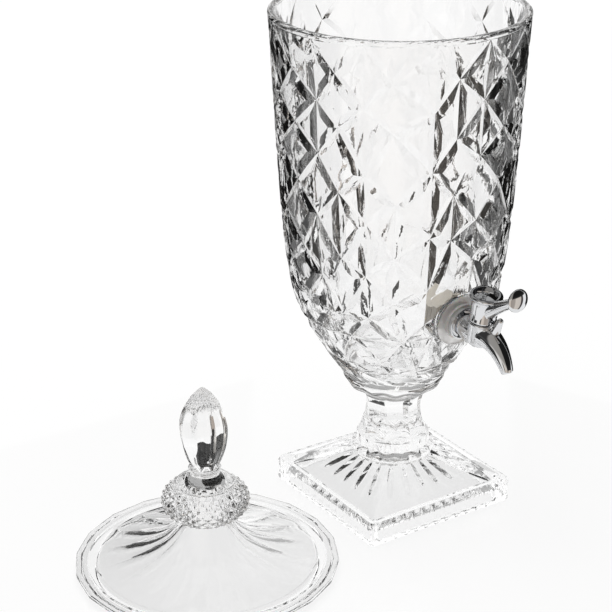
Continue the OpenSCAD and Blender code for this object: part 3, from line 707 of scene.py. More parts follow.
class URN_OT_lid(bpy.types.Operator):
    """Build the fluted dome, the diamond-cut ball and the finial"""
    bl_idname = "urn.lid"
    bl_label = "Lid, ball and finial"

    def execute(self, context):
        d = context.scene.urn_lid
        self.dome(context, d)
        self.ball(context, d)
        self.finial(context, d)
        return {"FINISHED"}

    def finish(self, context, obj, node_name, seams):
        """Glass, the seams' bond, and the lid's motion for one piece."""
        obj.data.materials.append(glass(context))
        obj.data.materials.append(bonded_seam())
        mesh = obj.data
        co = np.empty(len(mesh.vertices) * 3)
        mesh.vertices.foreach_get("co", co)
        z = co[2::3]
        near = np.zeros(len(z), bool)
        for height in seams:
            near |= np.abs(z - height) < 0.05 * MM
        slots = np.array([all(near[v] for v in p.vertices) for p in mesh.polygons], int)
        mesh.polygons.foreach_set("material_index", slots)
        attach(obj, "lid")
        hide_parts(node_name)

    def dome(self, context, d):
        """Flange with a many-sided edge, a stepped band, and flutes that die out towards the neck."""
        n = 16 * d.flutes
        a = 2 * math.pi / n * np.arange(n)
        flange = d.lip_h
        top = flange + d.flange_t
        step = d.lip_r + 0.5 * MM
        start = step - 7.6 * MM
        side = bezier([[start, top + MM], [0.64 * start, top + 6 * MM],
                       [d.neck_r + 8 * MM, d.neck_z - 19 * MM], [d.neck_r, d.neck_z]], 60)
        under = offset_left(side[::3], d.lid_wall)
        under = under[under[:, 0] > d.neck_r - d.lid_wall]
        bore = d.neck_r - d.lid_wall
        shelf = d.lip_r - 5 * MM
        lower = np.array([[bore, d.neck_z]] + under[::-1].tolist()
                         + [[shelf, flange - MM], [shelf, 0.4 * MM], [shelf + 0.4 * MM, 0]])
        rim = np.array([
            [d.lip_r - 0.6 * MM, 0], [d.lip_r, 0.6 * MM], [d.lip_r, flange],
            [d.flange_r - MM, flange], [d.flange_r - 0.3 * MM, flange + 0.3 * MM],
            [d.flange_r, flange + 0.9 * MM], [d.flange_r, top - 0.9 * MM],
            [d.flange_r - 0.3 * MM, top - 0.3 * MM], [d.flange_r - MM, top],
            [step + 5 * MM, top], [step + 4.1 * MM, top - 0.9 * MM], [step + 3.2 * MM, top],
            [step, top], [step - 0.7 * MM, top + 1.3 * MM], [step - 1.5 * MM, top + 1.6 * MM],
            [start + 1.8 * MM, top + 1.6 * MM], [start + 0.9 * MM, top + 1.4 * MM]])
        profile = np.vstack([lower, rim, side])
        r = np.repeat(profile[:, 0:1], n, 1)
        z = np.repeat(profile[:, 1:2], n, 1)
        # Twenty slight flats round the flange
        flats = (a * 20 / (2 * math.pi)) % 1 - 0.5
        edge = np.clip((profile[:, 0:1] - step) / (d.flange_r - step), 0, 1)
        r = r - edge * 1.0 * MM * (0.25 - flats ** 2) * 4
        # Hollow flutes with ridges between them, deepest halfway up
        t = np.zeros(len(profile))
        t[-61:] = np.linspace(0, 1, 61)
        wave = 1 - np.abs(np.sin(0.5 * d.flutes * a))
        depth = 1.25 * MM * np.sin(np.pi * np.clip(t * 1.05, 0, 1) ** 0.75)[:, None]
        z = z - depth * (1 - wave) * 0.9
        r = r - 0.35 * depth * (1 - wave)
        rings = turned(r, z, a, (d.lid_x, d.lid_y))
        dome = self.tube("lid_dome_cut_glass", rings)
        self.finish(context, dome, "lid_dome", [d.neck_z])

    def tube(self, name, rings):
        """A closed ring-shaped piece: the last row joins the first."""
        rows, n = rings.shape[:2]
        index = np.arange(rows * n).reshape(rows, n)
        below = np.vstack([index, index[:1]])
        right = np.roll(below, -1, axis=1)
        faces = np.stack([below[:-1], right[:-1], right[1:], below[1:]], -1).reshape(-1, 4)
        return piece(name, rings.reshape(-1, 3), [faces], 22)

    def ball(self, context, d):
        """Flattened ball of small pyramids in crossing spirals, with a smooth crown up to a collar."""
        bore = d.neck_r - d.lid_wall
        start = math.asin((d.neck_z - d.ball_z) / d.ball_h)
        crown = math.asin(0.76)
        n = 4 * 2 * d.diamonds
        a = 2 * math.pi / n * np.arange(n)
        rows = 4 * 11 + 1
        t = np.linspace(0, 1, rows)[:, None]
        angle = start + (crown - start) * t
        # Pyramids: height falls with the larger distance from the middle, measured along both spirals
        u = a * d.diamonds / (2 * math.pi)
        v = t * 5.5
        p, q = (u + v) % 1, (u - v) % 1
        groove = 2 * np.maximum(np.abs(p - 0.5), np.abs(q - 0.5))
        fade = np.clip(t / 0.03, 0, 1) * np.clip((1 - t) / 0.03, 0, 1)
        cut = 1.05 * MM * groove * fade * np.clip(np.cos(angle) * 1.25, 0.4, 1) - 0.15 * MM
        flat = np.stack([np.cos(angle) / d.ball_r, np.sin(angle) / d.ball_h], -1)
        flat /= np.linalg.norm(flat, axis=-1, keepdims=True)
        r = d.ball_r * np.cos(angle) - cut * flat[..., 0]
        z = d.ball_z + d.ball_h * np.sin(angle) - cut * flat[..., 1]
        collar_z = d.ball_z + d.ball_h + 7 * MM
        high = np.array([d.ball_r * math.cos(crown), d.ball_z + d.ball_h * math.sin(crown)])
        lift = np.vstack([[high + np.array([0.5, -0.2]) * MM], [high + np.array([0.4, 0.7]) * MM],
                          [high + np.array([-0.6, 1.0]) * MM],
                          bezier([high + np.array([-1.2, 0.5]) * MM, [high[0] - 5 * MM, high[1] + 4.5 * MM],
                                  [d.collar_r - MM, collar_z - 6 * MM], [d.collar_r - MM, collar_z]], 12)])
        roof = high[1] - 3 * MM
        well = np.array([[0, roof], [bore - 3 * MM, roof], [bore - 0.8 * MM, roof - 0.8 * MM],
                         [bore, roof - 3 * MM], [bore, d.neck_z]])
        r_all = np.vstack([np.repeat(well[:, 0:1], n, 1), r * np.ones(n), np.repeat(lift[:, 0:1], n, 1),
                           np.zeros((1, n))])
        z_all = np.vstack([np.repeat(well[:, 1:2], n, 1), z * np.ones(n), np.repeat(lift[:, 1:2], n, 1),
                           np.full((1, n), collar_z)])
        z_all[5] = d.neck_z
        ball = closed_rings("lid_ball_cut_glass", turned(r_all, z_all, a, (d.lid_x, d.lid_y)), 12)
        self.finish(context, ball, "lid_ball", [d.neck_z, collar_z])

    def finial(self, context, d):
        """Bud with long hollow flutes, and a zone of small facets near its point."""
        n = 36 * d.petals
        a = 2 * math.pi / n * np.arange(n)
        low = d.ball_z + d.ball_h + 7 * MM
        base = low + d.collar_h
        bud = d.finial_h - d.collar_h
        widest = base + 0.49 * bud
        tip = base + bud
        ring = np.array([[0, low], [d.collar_r + 0.6 * MM, low], [d.collar_r + 1.2 * MM, low + 0.6 * MM],
                         [d.collar_r + 1.2 * MM, base - 1.4 * MM], [d.collar_r + 0.6 * MM, base - 0.8 * MM],
                         [d.collar_r - MM, base - 0.8 * MM]])
        body = np.vstack([
            bezier([[d.collar_r - 0.6 * MM, base], [d.finial_r - 3 * MM, base + 9 * MM],
                    [d.finial_r, widest - 12 * MM], [d.finial_r, widest]], 30),
            bezier([[d.finial_r, widest], [d.finial_r, widest + 11 * MM],
                    [0.45 * d.finial_r, tip - 4 * MM], [0, tip]], 40)[1:]])
        profile = np.vstack([ring, body])
        t = np.clip((profile[:, 1:2] - base) / bud, 0, 1)
        wave = np.abs(np.sin(0.5 * d.petals * a))
        long_cut = 1.35 * MM * np.clip(t / 0.06, 0, 1) * np.clip((0.78 - t) / 0.05, 0, 1)
        r = profile[:, 0:1] - long_cut * wave * 1.15
        u = a * 12 / math.pi
        v = (t - 0.74) / 0.26 * 3
        p, q = (u + v) % 1, (u - v) % 1
        facet = 2 * np.maximum(np.abs(p - 0.5), np.abs(q - 0.5))
        small = 0.55 * MM * np.clip((t - 0.74) / 0.03, 0, 1) * np.clip((1 - t) / 0.08, 0, 1)
        r = np.maximum(r - small * facet, 0)
        r[-1] = 0
        z = np.repeat(profile[:, 1:2], n, 1)
        finial = closed_rings("lid_finial_cut_glass", turned(r, z, a, (d.lid_x, d.lid_y)), 16)
        self.finish(context, finial, "lid_finial", [low])


# ---- tap ---------------------------------------------------------------------------------

def box(name, low, high):
    """A closed box between two corners in mm."""
    points = np.array([[u, v, w] for u in (low[0], high[0]) for v in (low[1], high[1])
                       for w in (low[2], high[2])]) * MM
    sides = [[0, 1, 3, 2], [4, 6, 7, 5], [0, 4, 5, 1], [2, 3, 7, 6], [0, 2, 6, 4], [1, 5, 7, 3]]
    return piece(name, points, [np.array(sides)])


def around_valve(name, profile, x, count=96):
    """A closed piece turned about the valve's axis at x: profile is (radius, height) in mm."""
    profile = np.asarray(profile, float) * MM
    a = 2 * math.pi / count * np.arange(count)
    return closed_rings(name, turned(profile[:, 0], profile[:, 1], a, (x, 0)))


def around_line(name, profile, start, lean, count=64):
    """A closed turned piece whose axis starts at start (x, z) and leans by lean from +Z towards +X.

    profile is (radius, distance along the axis) in mm; a point goes to
    start + r cos a (cos lean, 0, -sin lean) + r sin a (0, 1, 0) + d (sin lean, 0, cos lean).
    """
    profile = np.asarray(profile, float) * MM
    a = 2 * math.pi / count * np.arange(count)
    r, d = profile[:, :1], profile[:, 1:]
    x = start[0] + r * np.cos(a) * math.cos(lean) + d * math.sin(lean)
    z = start[1] - r * np.cos(a) * math.sin(lean) + d * math.cos(lean)
    return closed_rings(name, np.stack([x, r * np.sin(a), z], -1))


class URN_OT_tap(bpy.types.Operator):
    """Build the tap's body with its spout, and the hub with its lever and end disc"""
    bl_idname = "urn.tap"
    bl_label = "Tap"

    def execute(self, context):
        t, b, f = context.scene.urn_tap, context.scene.urn_bowl, context.scene.urn_foot
        m = tap_frame(b, f)
        finish = chrome(context)
        for obj, node_name, body in ((self.body(t), "tap_body", "urn"),
                                     (self.handle(t), "lever_handle", "handle")):
            obj.data.transform(m)
            obj.data.polygons.foreach_set("use_smooth", np.ones(len(obj.data.polygons), bool))
            obj.data.set_sharp_from_angle(angle=math.radians(35))
            obj.data.materials.clear()
            obj.data.materials.append(finish)
            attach(obj, body)
            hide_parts(node_name)
        return {"FINISHED"}

    def spout(self, t):
        """Tube along a cubic Bezier; its radius falls as 1 - share^1.3, and its end is rounded.

        A ring's point is c + r cos a n + r sin a y, with n the curve's left normal.
        """
        x = t.valve_x
        curve = bezier(np.array([[x - 2.5 * MM, MM], [x + 13.5 * MM, 8 * MM], [x + 25.5 * MM, -2 * MM],
                                 [x + 32.2 * MM, -12 * MM]]), 48)
        along = np.vstack([curve[1:2] - curve[:1], curve[2:] - curve[:-2], curve[-1:] - curve[-2:-1]])
        along /= np.linalg.norm(along, axis=1, keepdims=True)
        share = np.linspace(0, 1, 49)
        r = t.outlet_out_r + (t.bulb_r - 0.5 * MM - t.outlet_out_r) * (1 - share ** 1.3)
        r[-2:] -= np.array([0.15, 0.7]) * MM
        r = np.concatenate([[0], r, [0]])
        curve = np.vstack([curve[:1], curve, curve[-1:]])
        along = np.vstack([along[:1], along, along[-1:]])
        a = 2 * math.pi / 64 * np.arange(64)
        side = r[:, None] * np.cos(a)
        return closed_rings("spout", np.stack([
            curve[:, :1] - side * along[:, 1:], r[:, None] * np.sin(a),
            curve[:, 1:] + side * along[:, :1]], -1))

    def body(self, t):
        """Shank with its thread, neck, bulb, spout and stop lug in one, then the passages."""
        x, z = t.valve_x, t.hub_z / MM
        shank, bulb, neck = t.shank_r / MM, t.bulb_r / MM, t.shoulder / MM
        end, valve = t.shank_end / MM, x / MM
        turns = np.arange(end + 1.5, -3.5, 0.25)
        thread = np.stack([shank - 0.3 + 0.3 * np.cos(2 * math.pi * turns / 1.5), turns], -1)
        body = around_line("tap_body_chromed", [
            [0, end], [shank - 1, end], [shank - 0.3, end + 0.8], *thread.tolist(), [shank, -2.5],
            [shank, neck], [shank + 0.7, neck], [shank + 1, neck + 0.3], [shank + 1, valve], [0, valve]],
            (0, 0), math.pi / 2, 96)
        base = arc([0, -2.2], 1, -90, 0, 10) * [bulb, 5.2] + [0, -2.2 + 2.2 * 5.2]
        bulb_profile = [[0, -7.4], *base[1:].tolist(), [bulb, z - 3], [bulb + 0.15, z - 2.6],
                        *arc([bulb - 0.1, z - 1.45], 1.0, -60, 80, 8).tolist(), [bulb - 0.4, z - 0.4],
                        [shank - 0.2, z - 0.4], [shank - 0.2, z + 3.7], [shank - 0.5, z + 4], [0, z + 4]]
        parts = [around_valve("bulb", bulb_profile, x), self.spout(t)]
        hub = t.hub_r / MM
        low, high = np.array([valve + hub + 3.9, z - 2]), np.array([valve + hub + 7, z + 7.5])
        axis = high - low
        long = np.linalg.norm(axis)
        tilt = math.asin((3.4 - 2.2) / long)
        lean = math.atan2(axis[0], axis[1])
        peg = np.vstack([arc([0, 0], 3.4, -90, math.degrees(tilt), 14),
                         arc([0, long], 2.2, math.degrees(tilt), 90, 14)])
        parts.append(around_line("peg", peg, low * MM, lean, 48))
        inner, wide = t.skirt_r / MM + 0.4, hub - t.skirt_r / MM + 2.5
        parts.append(box("lug", (valve + inner, -2, z - 4), (valve + inner + wide, 2, z + 3)))
        for part in parts:
            boolean(body, part, "UNION")
        port, chamber = t.port_r / MM, t.chamber_r / MM
        out = t.outlet_r / MM
        aim = np.array([6.7, -10.0]) / math.hypot(6.7, 10)
        mouth = np.array([valve + 32.2, -12]) - 10 * aim
        inlet = np.array([valve + chamber - 2, 2.2])
        bend = mouth - inlet
        length_of_bend = np.linalg.norm(bend) + 1.2
        for hole in (
                around_line("outlet", [[0, 0], [out, 0], [out, 11], [0, 11]], mouth * MM,
                            math.atan2(*aim), 54),
                around_line("bend", [[0, 0], [out, 0], [out, length_of_bend], [0, length_of_bend]],
                            inlet * MM, math.atan2(*bend), 50),
                around_line("port", [[0, end - 1], [port, end - 1], [port, valve - chamber - 4.5],
                                     [port + 1.5, valve - chamber - 4.5], [port + 1.5, valve], [0, valve]],
                            (0, 0), math.pi / 2),
                around_valve("chamber", [[0, -5.2], [chamber, -5.2], [chamber, z + 2], [chamber + 0.8, z + 2],
                                         [chamber + 0.8, z + 5], [0, z + 5]], x)):
            boolean(body, hole, "DIFFERENCE")
        return body

    def handle(self, t):
        """Hub turned with its skirt, rim and well, then the lever and end disc, the drive and the slot."""
        x, z, top = t.valve_x, t.hub_z / MM, (t.hub_z + t.hub_h) / MM
        hub, rim, skirt = t.hub_r / MM, t.hub_rim_r / MM, t.skirt_r / MM
        web, cap = z + 6.5, hub - 1
        hub_profile = [[0, web], [skirt, web], [skirt, z], [hub - 1.0, z], [hub - 0.7, z + 0.3],
                       [hub - 0.6, z + 1.2],
                       *bezier([[hub - 0.8, z + 2], [hub - 1, z + 8], [hub - 0.9, top - 6],
                                [hub - 0.5, top - 4.6]], 14).tolist(),
                       [hub, top - 3.4], *arc([rim - 1.3, top - 1.3], 1.3, -60, 90, 12).tolist(), [cap, top],
                       [cap, top - 3.02], [cap - 1.2, top - 3.02], [cap - 1.2, web + 5.5], [0, web + 5.5]]
        body = around_valve("lever_handle_chromed", hub_profile, x, 128)
        start = np.array([x / MM + 5, z + 9.9])
        knob = np.array([x / MM + 31, z + 31])
        reach = knob - [1, 1.6] - start
        long = np.linalg.norm(reach)
        lever = np.vstack([[[0, 0]], bezier([[6.5, 0], [4.8, 8], [3.6, 14], [3.7, long - 6]], 24),
                           [[4.8, long - 1], [0, long - 1]]])
        disc = np.vstack([[[0, -3.6]], [[4, -3.2]], arc([t.knob_r / MM - 1.4, 0], 1.4, -90, 40, 14),
                          bezier([[t.knob_r / MM - 1.2, 1.6], [5, 2.8], [2.5, 3.4], [0, 3.4]], 16)])
        lever_part = around_line("lever", lever, start * MM, math.atan2(*reach))
        # The lever starts inside the hub's wall, clear of the skirt and the well
        core = [[0, z - 9], [skirt + 0.5, z - 9], [skirt + 0.5, top - 3.4], [cap + 0.4, top - 3.4],
                [cap + 0.4, top + 9], [0, top + 9]]
        boolean(lever_part, around_valve("core", core, x, 100), "DIFFERENCE")
        boolean(body, lever_part, "UNION")
        boolean(body, around_line("disc", disc, knob * MM, math.radians(80), 96), "UNION")
        half = 2.45
        drive = box("drive", (x / MM - half, -half, web - 1), (x / MM + half, half, web + 7))
        boolean(body, drive, "DIFFERENCE")
        # Slot for the stop lug: a ring sector swept through the quarter turn
        half_lug = math.asin(2.3 / skirt)
        a = np.linspace(-half_lug, math.pi / 2 + half_lug, 33)
        ring = np.array([[skirt - 0.6, z - 1], [hub + 1, z - 1], [hub + 1, z + 3.3],
                         [skirt - 0.6, z + 3.3]]) * MM
        rows = np.stack([x + ring[None, :, 0] * np.cos(a)[:, None], ring[None, :, 0] * np.sin(a)[:, None],
                         np.broadcast_to(ring[None, :, 1], (33, 4))], -1)
        points = rows.reshape(-1, 3)
        ends = np.array([[0, 1, 2, 3], [131, 130, 129, 128]])
        boolean(body, piece("slot", points, [ring_faces(33, 4)[:, ::-1], ends[:, ::-1]]), "DIFFERENCE")
        return body


# ---- materials ---------------------------------------------------------------------------

def node(tree, kind, settings=None, inputs=None, links=None):
    """Adds a node, sets its own settings and its sockets' values, and links sockets from other nodes."""
    new = tree.nodes.new(kind)
    for key, value in (settings or {}).items():
        setattr(new, key, value)
    for key, value in (inputs or {}).items():
        new.inputs[key].default_value = value
    for key, output in (links or {}).items():
        tree.links.new(output, new.inputs[key])
    return new


def new_material(name):
    """A new material that holds only its output node."""
    material = bpy.data.materials.new(name)
    material.use_nodes = True
    material.node_tree.nodes.clear()
    out = node(material.node_tree, "ShaderNodeOutputMaterial")
    return material, material.node_tree, out


def rgba(value):
    """A colour property as RGBA."""
    return (*value, 1.0)


def glass(context):
    """Soda-lime glass, pressed and fire polished: clear, with long shallow waves left by the mould."""
    if "pressed_glass" in bpy.data.materials:
        return bpy.data.materials["pressed_glass"]
    material, tree, out = new_material("pressed_glass")
    place = node(tree, "ShaderNodeTexCoord")
    # Mould waves about 14 mm long, and a finer 3 mm ripple
    long_wave = node(tree, "ShaderNodeTexNoise", inputs={"Scale": 70.0, "Detail": 1.0},
                     links={"Vector": place.outputs["Object"]})
    ripple = node(tree, "ShaderNodeTexNoise", inputs={"Scale": 330.0, "Detail": 2.0},
                  links={"Vector": place.outputs["Object"]})
    waves = node(tree, "ShaderNodeMix", {"data_type": "FLOAT"}, {"Factor": 0.12},
                 {"A": long_wave.outputs["Fac"], "B": ripple.outputs["Fac"]})
    bump = node(tree, "ShaderNodeBump", inputs={"Strength": 0.35, "Distance": 0.0006},
                links={"Height": waves.outputs["Result"]})
    shader = node(tree, "ShaderNodeBsdfPrincipled",
                  inputs={"Base Color": rgba(context.scene.urn_finish.glass), "Roughness": 0.0, "IOR": 1.52,
                          "Transmission Weight": 1.0},
                  links={"Normal": bump.outputs["Normal"]})
    tree.links.new(shader.outputs["BSDF"], out.inputs["Surface"])
    return material


def satin_glass(context):
    """The same glass where the mould was satin finished: the flat face of the boss."""
    material, tree, out = new_material("satin_pressed_glass")
    place = node(tree, "ShaderNodeTexCoord")
    # Etch grain about half a millimetre across
    grain = node(tree, "ShaderNodeTexNoise", inputs={"Scale": 2000.0, "Detail": 2.0},
                 links={"Vector": place.outputs["Object"]})
    rough = node(tree, "ShaderNodeMapRange", inputs={"To Min": 0.28, "To Max": 0.44},
                 links={"Value": grain.outputs["Fac"]})
    shader = node(tree, "ShaderNodeBsdfPrincipled",
                  inputs={"Base Color": rgba(context.scene.urn_finish.glass), "IOR": 1.52,
                          "Transmission Weight": 0.6},
                  links={"Roughness": rough.outputs["Result"]})
    tree.links.new(shader.outputs["BSDF"], out.inputs["Surface"])
    return material


def bonded_seam():
    """Optical bond between two pieces of glass: the light passes straight through."""
    if "bonded_seam" in bpy.data.materials:
        return bpy.data.materials["bonded_seam"]
    material, tree, out = new_material("bonded_seam")
    clear = node(tree, "ShaderNodeBsdfTransparent")
    tree.links.new(clear.outputs["BSDF"], out.inputs["Surface"])
    return material


def chrome(context):
    """Bright chrome plated on moulded plastic: mirror smooth, with a faint orange peel."""
    if "bright_chrome_plate" in bpy.data.materials:
        return bpy.data.materials["bright_chrome_plate"]
    material, tree, out = new_material("bright_chrome_plate")
    place = node(tree, "ShaderNodeTexCoord")
    peel = node(tree, "ShaderNodeTexNoise", inputs={"Scale": 220.0, "Detail": 2.0},
                links={"Vector": place.outputs["Object"]})
    smudge = node(tree, "ShaderNodeTexNoise", inputs={"Scale": 90.0, "Detail": 3.0},
                  links={"Vector": place.outputs["Object"]})
    rough = node(tree, "ShaderNodeMapRange", inputs={"From Min": 0.35, "From Max": 0.75, "To Min": 0.02,
                                                     "To Max": 0.07},
                 links={"Value": smudge.outputs["Fac"]})
    bump = node(tree, "ShaderNodeBump", inputs={"Strength": 0.12, "Distance": 0.0002},
                links={"Height": peel.outputs["Fac"]})
    shader = node(tree, "ShaderNodeBsdfPrincipled",
                  inputs={"Base Color": rgba(context.scene.urn_finish.chrome), "Metallic": 1.0},
                  links={"Normal": bump.outputs["Normal"], "Roughness": rough.outputs["Result"]})
    tree.links.new(shader.outputs["BSDF"], out.inputs["Surface"])
    return material


def silicone(context):
    """Clear silicone rubber, moulded: milky, soft gloss."""
    material, tree, out = new_material("clear_silicone")
    place = node(tree, "ShaderNodeTexCoord")
    grain = node(tree, "ShaderNodeTexNoise", inputs={"Scale": 1500.0, "Detail": 2.0},
                 links={"Vector": place.outputs["Object"]})
    bump = node(tree, "ShaderNodeBump", inputs={"Strength": 0.2, "Distance": 0.0001},
                links={"Height": grain.outputs["Fac"]})
    shader = node(tree, "ShaderNodeBsdfPrincipled",
                  inputs={"Base Color": rgba(context.scene.urn_finish.silicone), "Roughness": 0.32,
                          "IOR": 1.41,
                          "Transmission Weight": 0.35, "Subsurface Weight": 0.3, "Subsurface Scale": 0.002},
                  links={"Normal": bump.outputs["Normal"]})
    tree.links.new(shader.outputs["BSDF"], out.inputs["Surface"])
    return material


def plastic(name, tint, roughness, grain_mm):
    """Moulded plastic with a fine mould texture whose grain is given in millimetres."""
    material, tree, out = new_material(name)
    place = node(tree, "ShaderNodeTexCoord")
    grain = node(tree, "ShaderNodeTexNoise", inputs={"Scale": 1000.0 / grain_mm, "Detail": 3.0},
                 links={"Vector": place.outputs["Object"]})
    mottle = node(tree, "ShaderNodeTexNoise", inputs={"Scale": 120.0, "Detail": 2.0},
                  links={"Vector": place.outputs["Object"]})
    shade = node(tree, "ShaderNodeMix", {"data_type": "RGBA"}, links={"Factor": mottle.outputs["Fac"]})
    shade.inputs[6].default_value = rgba(tint)
    shade.inputs[7].default_value = rgba([0.92 * c for c in tint])
    bump = node(tree, "ShaderNodeBump", inputs={"Strength": 0.3, "Distance": 0.00008},
                links={"Height": grain.outputs["Fac"]})
    shader = node(tree, "ShaderNodeBsdfPrincipled", inputs={"Roughness": roughness, "IOR": 1.49},
                  links={"Normal": bump.outputs["Normal"], "Base Color": shade.outputs[2]})
    tree.links.new(shader.outputs["BSDF"], out.inputs["Surface"])
    return material


def steel(context):
    """Zinc-plated steel screw, turned and bright."""
    material, tree, out = new_material("zinc_plated_steel")
    place = node(tree, "ShaderNodeTexCoord")
    lay = node(tree, "ShaderNodeTexNoise", inputs={"Scale": 900.0, "Detail": 3.0},
               links={"Vector": place.outputs["Object"]})
    rough = node(tree, "ShaderNodeMapRange", inputs={"To Min": 0.22, "To Max": 0.4},
                 links={"Value": lay.outputs["Fac"]})
    shader = node(tree, "ShaderNodeBsdfPrincipled",
                  inputs={"Base Color": rgba(context.scene.urn_finish.steel), "Metallic": 1.0},
                  links={"Roughness": rough.outputs["Result"]})
    tree.links.new(shader.outputs["BSDF"], out.inputs["Surface"])
    return material


class URN_OT_finishes(bpy.types.Operator):
    """Give every carried-over piece its finish"""
    bl_idname = "urn.finishes"
    bl_label = "Finishes of the tap"

    def execute(self, context):
        c = context.scene.urn_finish
        ivory = plastic("ivory_polypropylene", c.ivory, 0.45, 0.4)
        white = plastic("white_acetal", c.white, 0.35, 0.3)
        rubber = plastic("black_nitrile", c.rubber, 0.5, 0.25)
        finish = {
            chrome(context): ["escutcheon", "hub_cap"],
            silicone(context): ["outer_washer", "inner_washer", "port_seal"],
            ivory: ["backing_nut", "slip_washer"],
            white: ["thrust_washer", "bonnet", "valve_plug"],
            rubber: ["upper_o_ring", "lower_o_ring"],
            steel(context): ["handle_screw"],
        }
        for material, names in finish.items():
            for name in names:
                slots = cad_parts[name].material_slots
                for slot in slots:
                    slot.material = material
        return {"FINISHED"}


# ---- studio --------------------------------------------------------------------------------

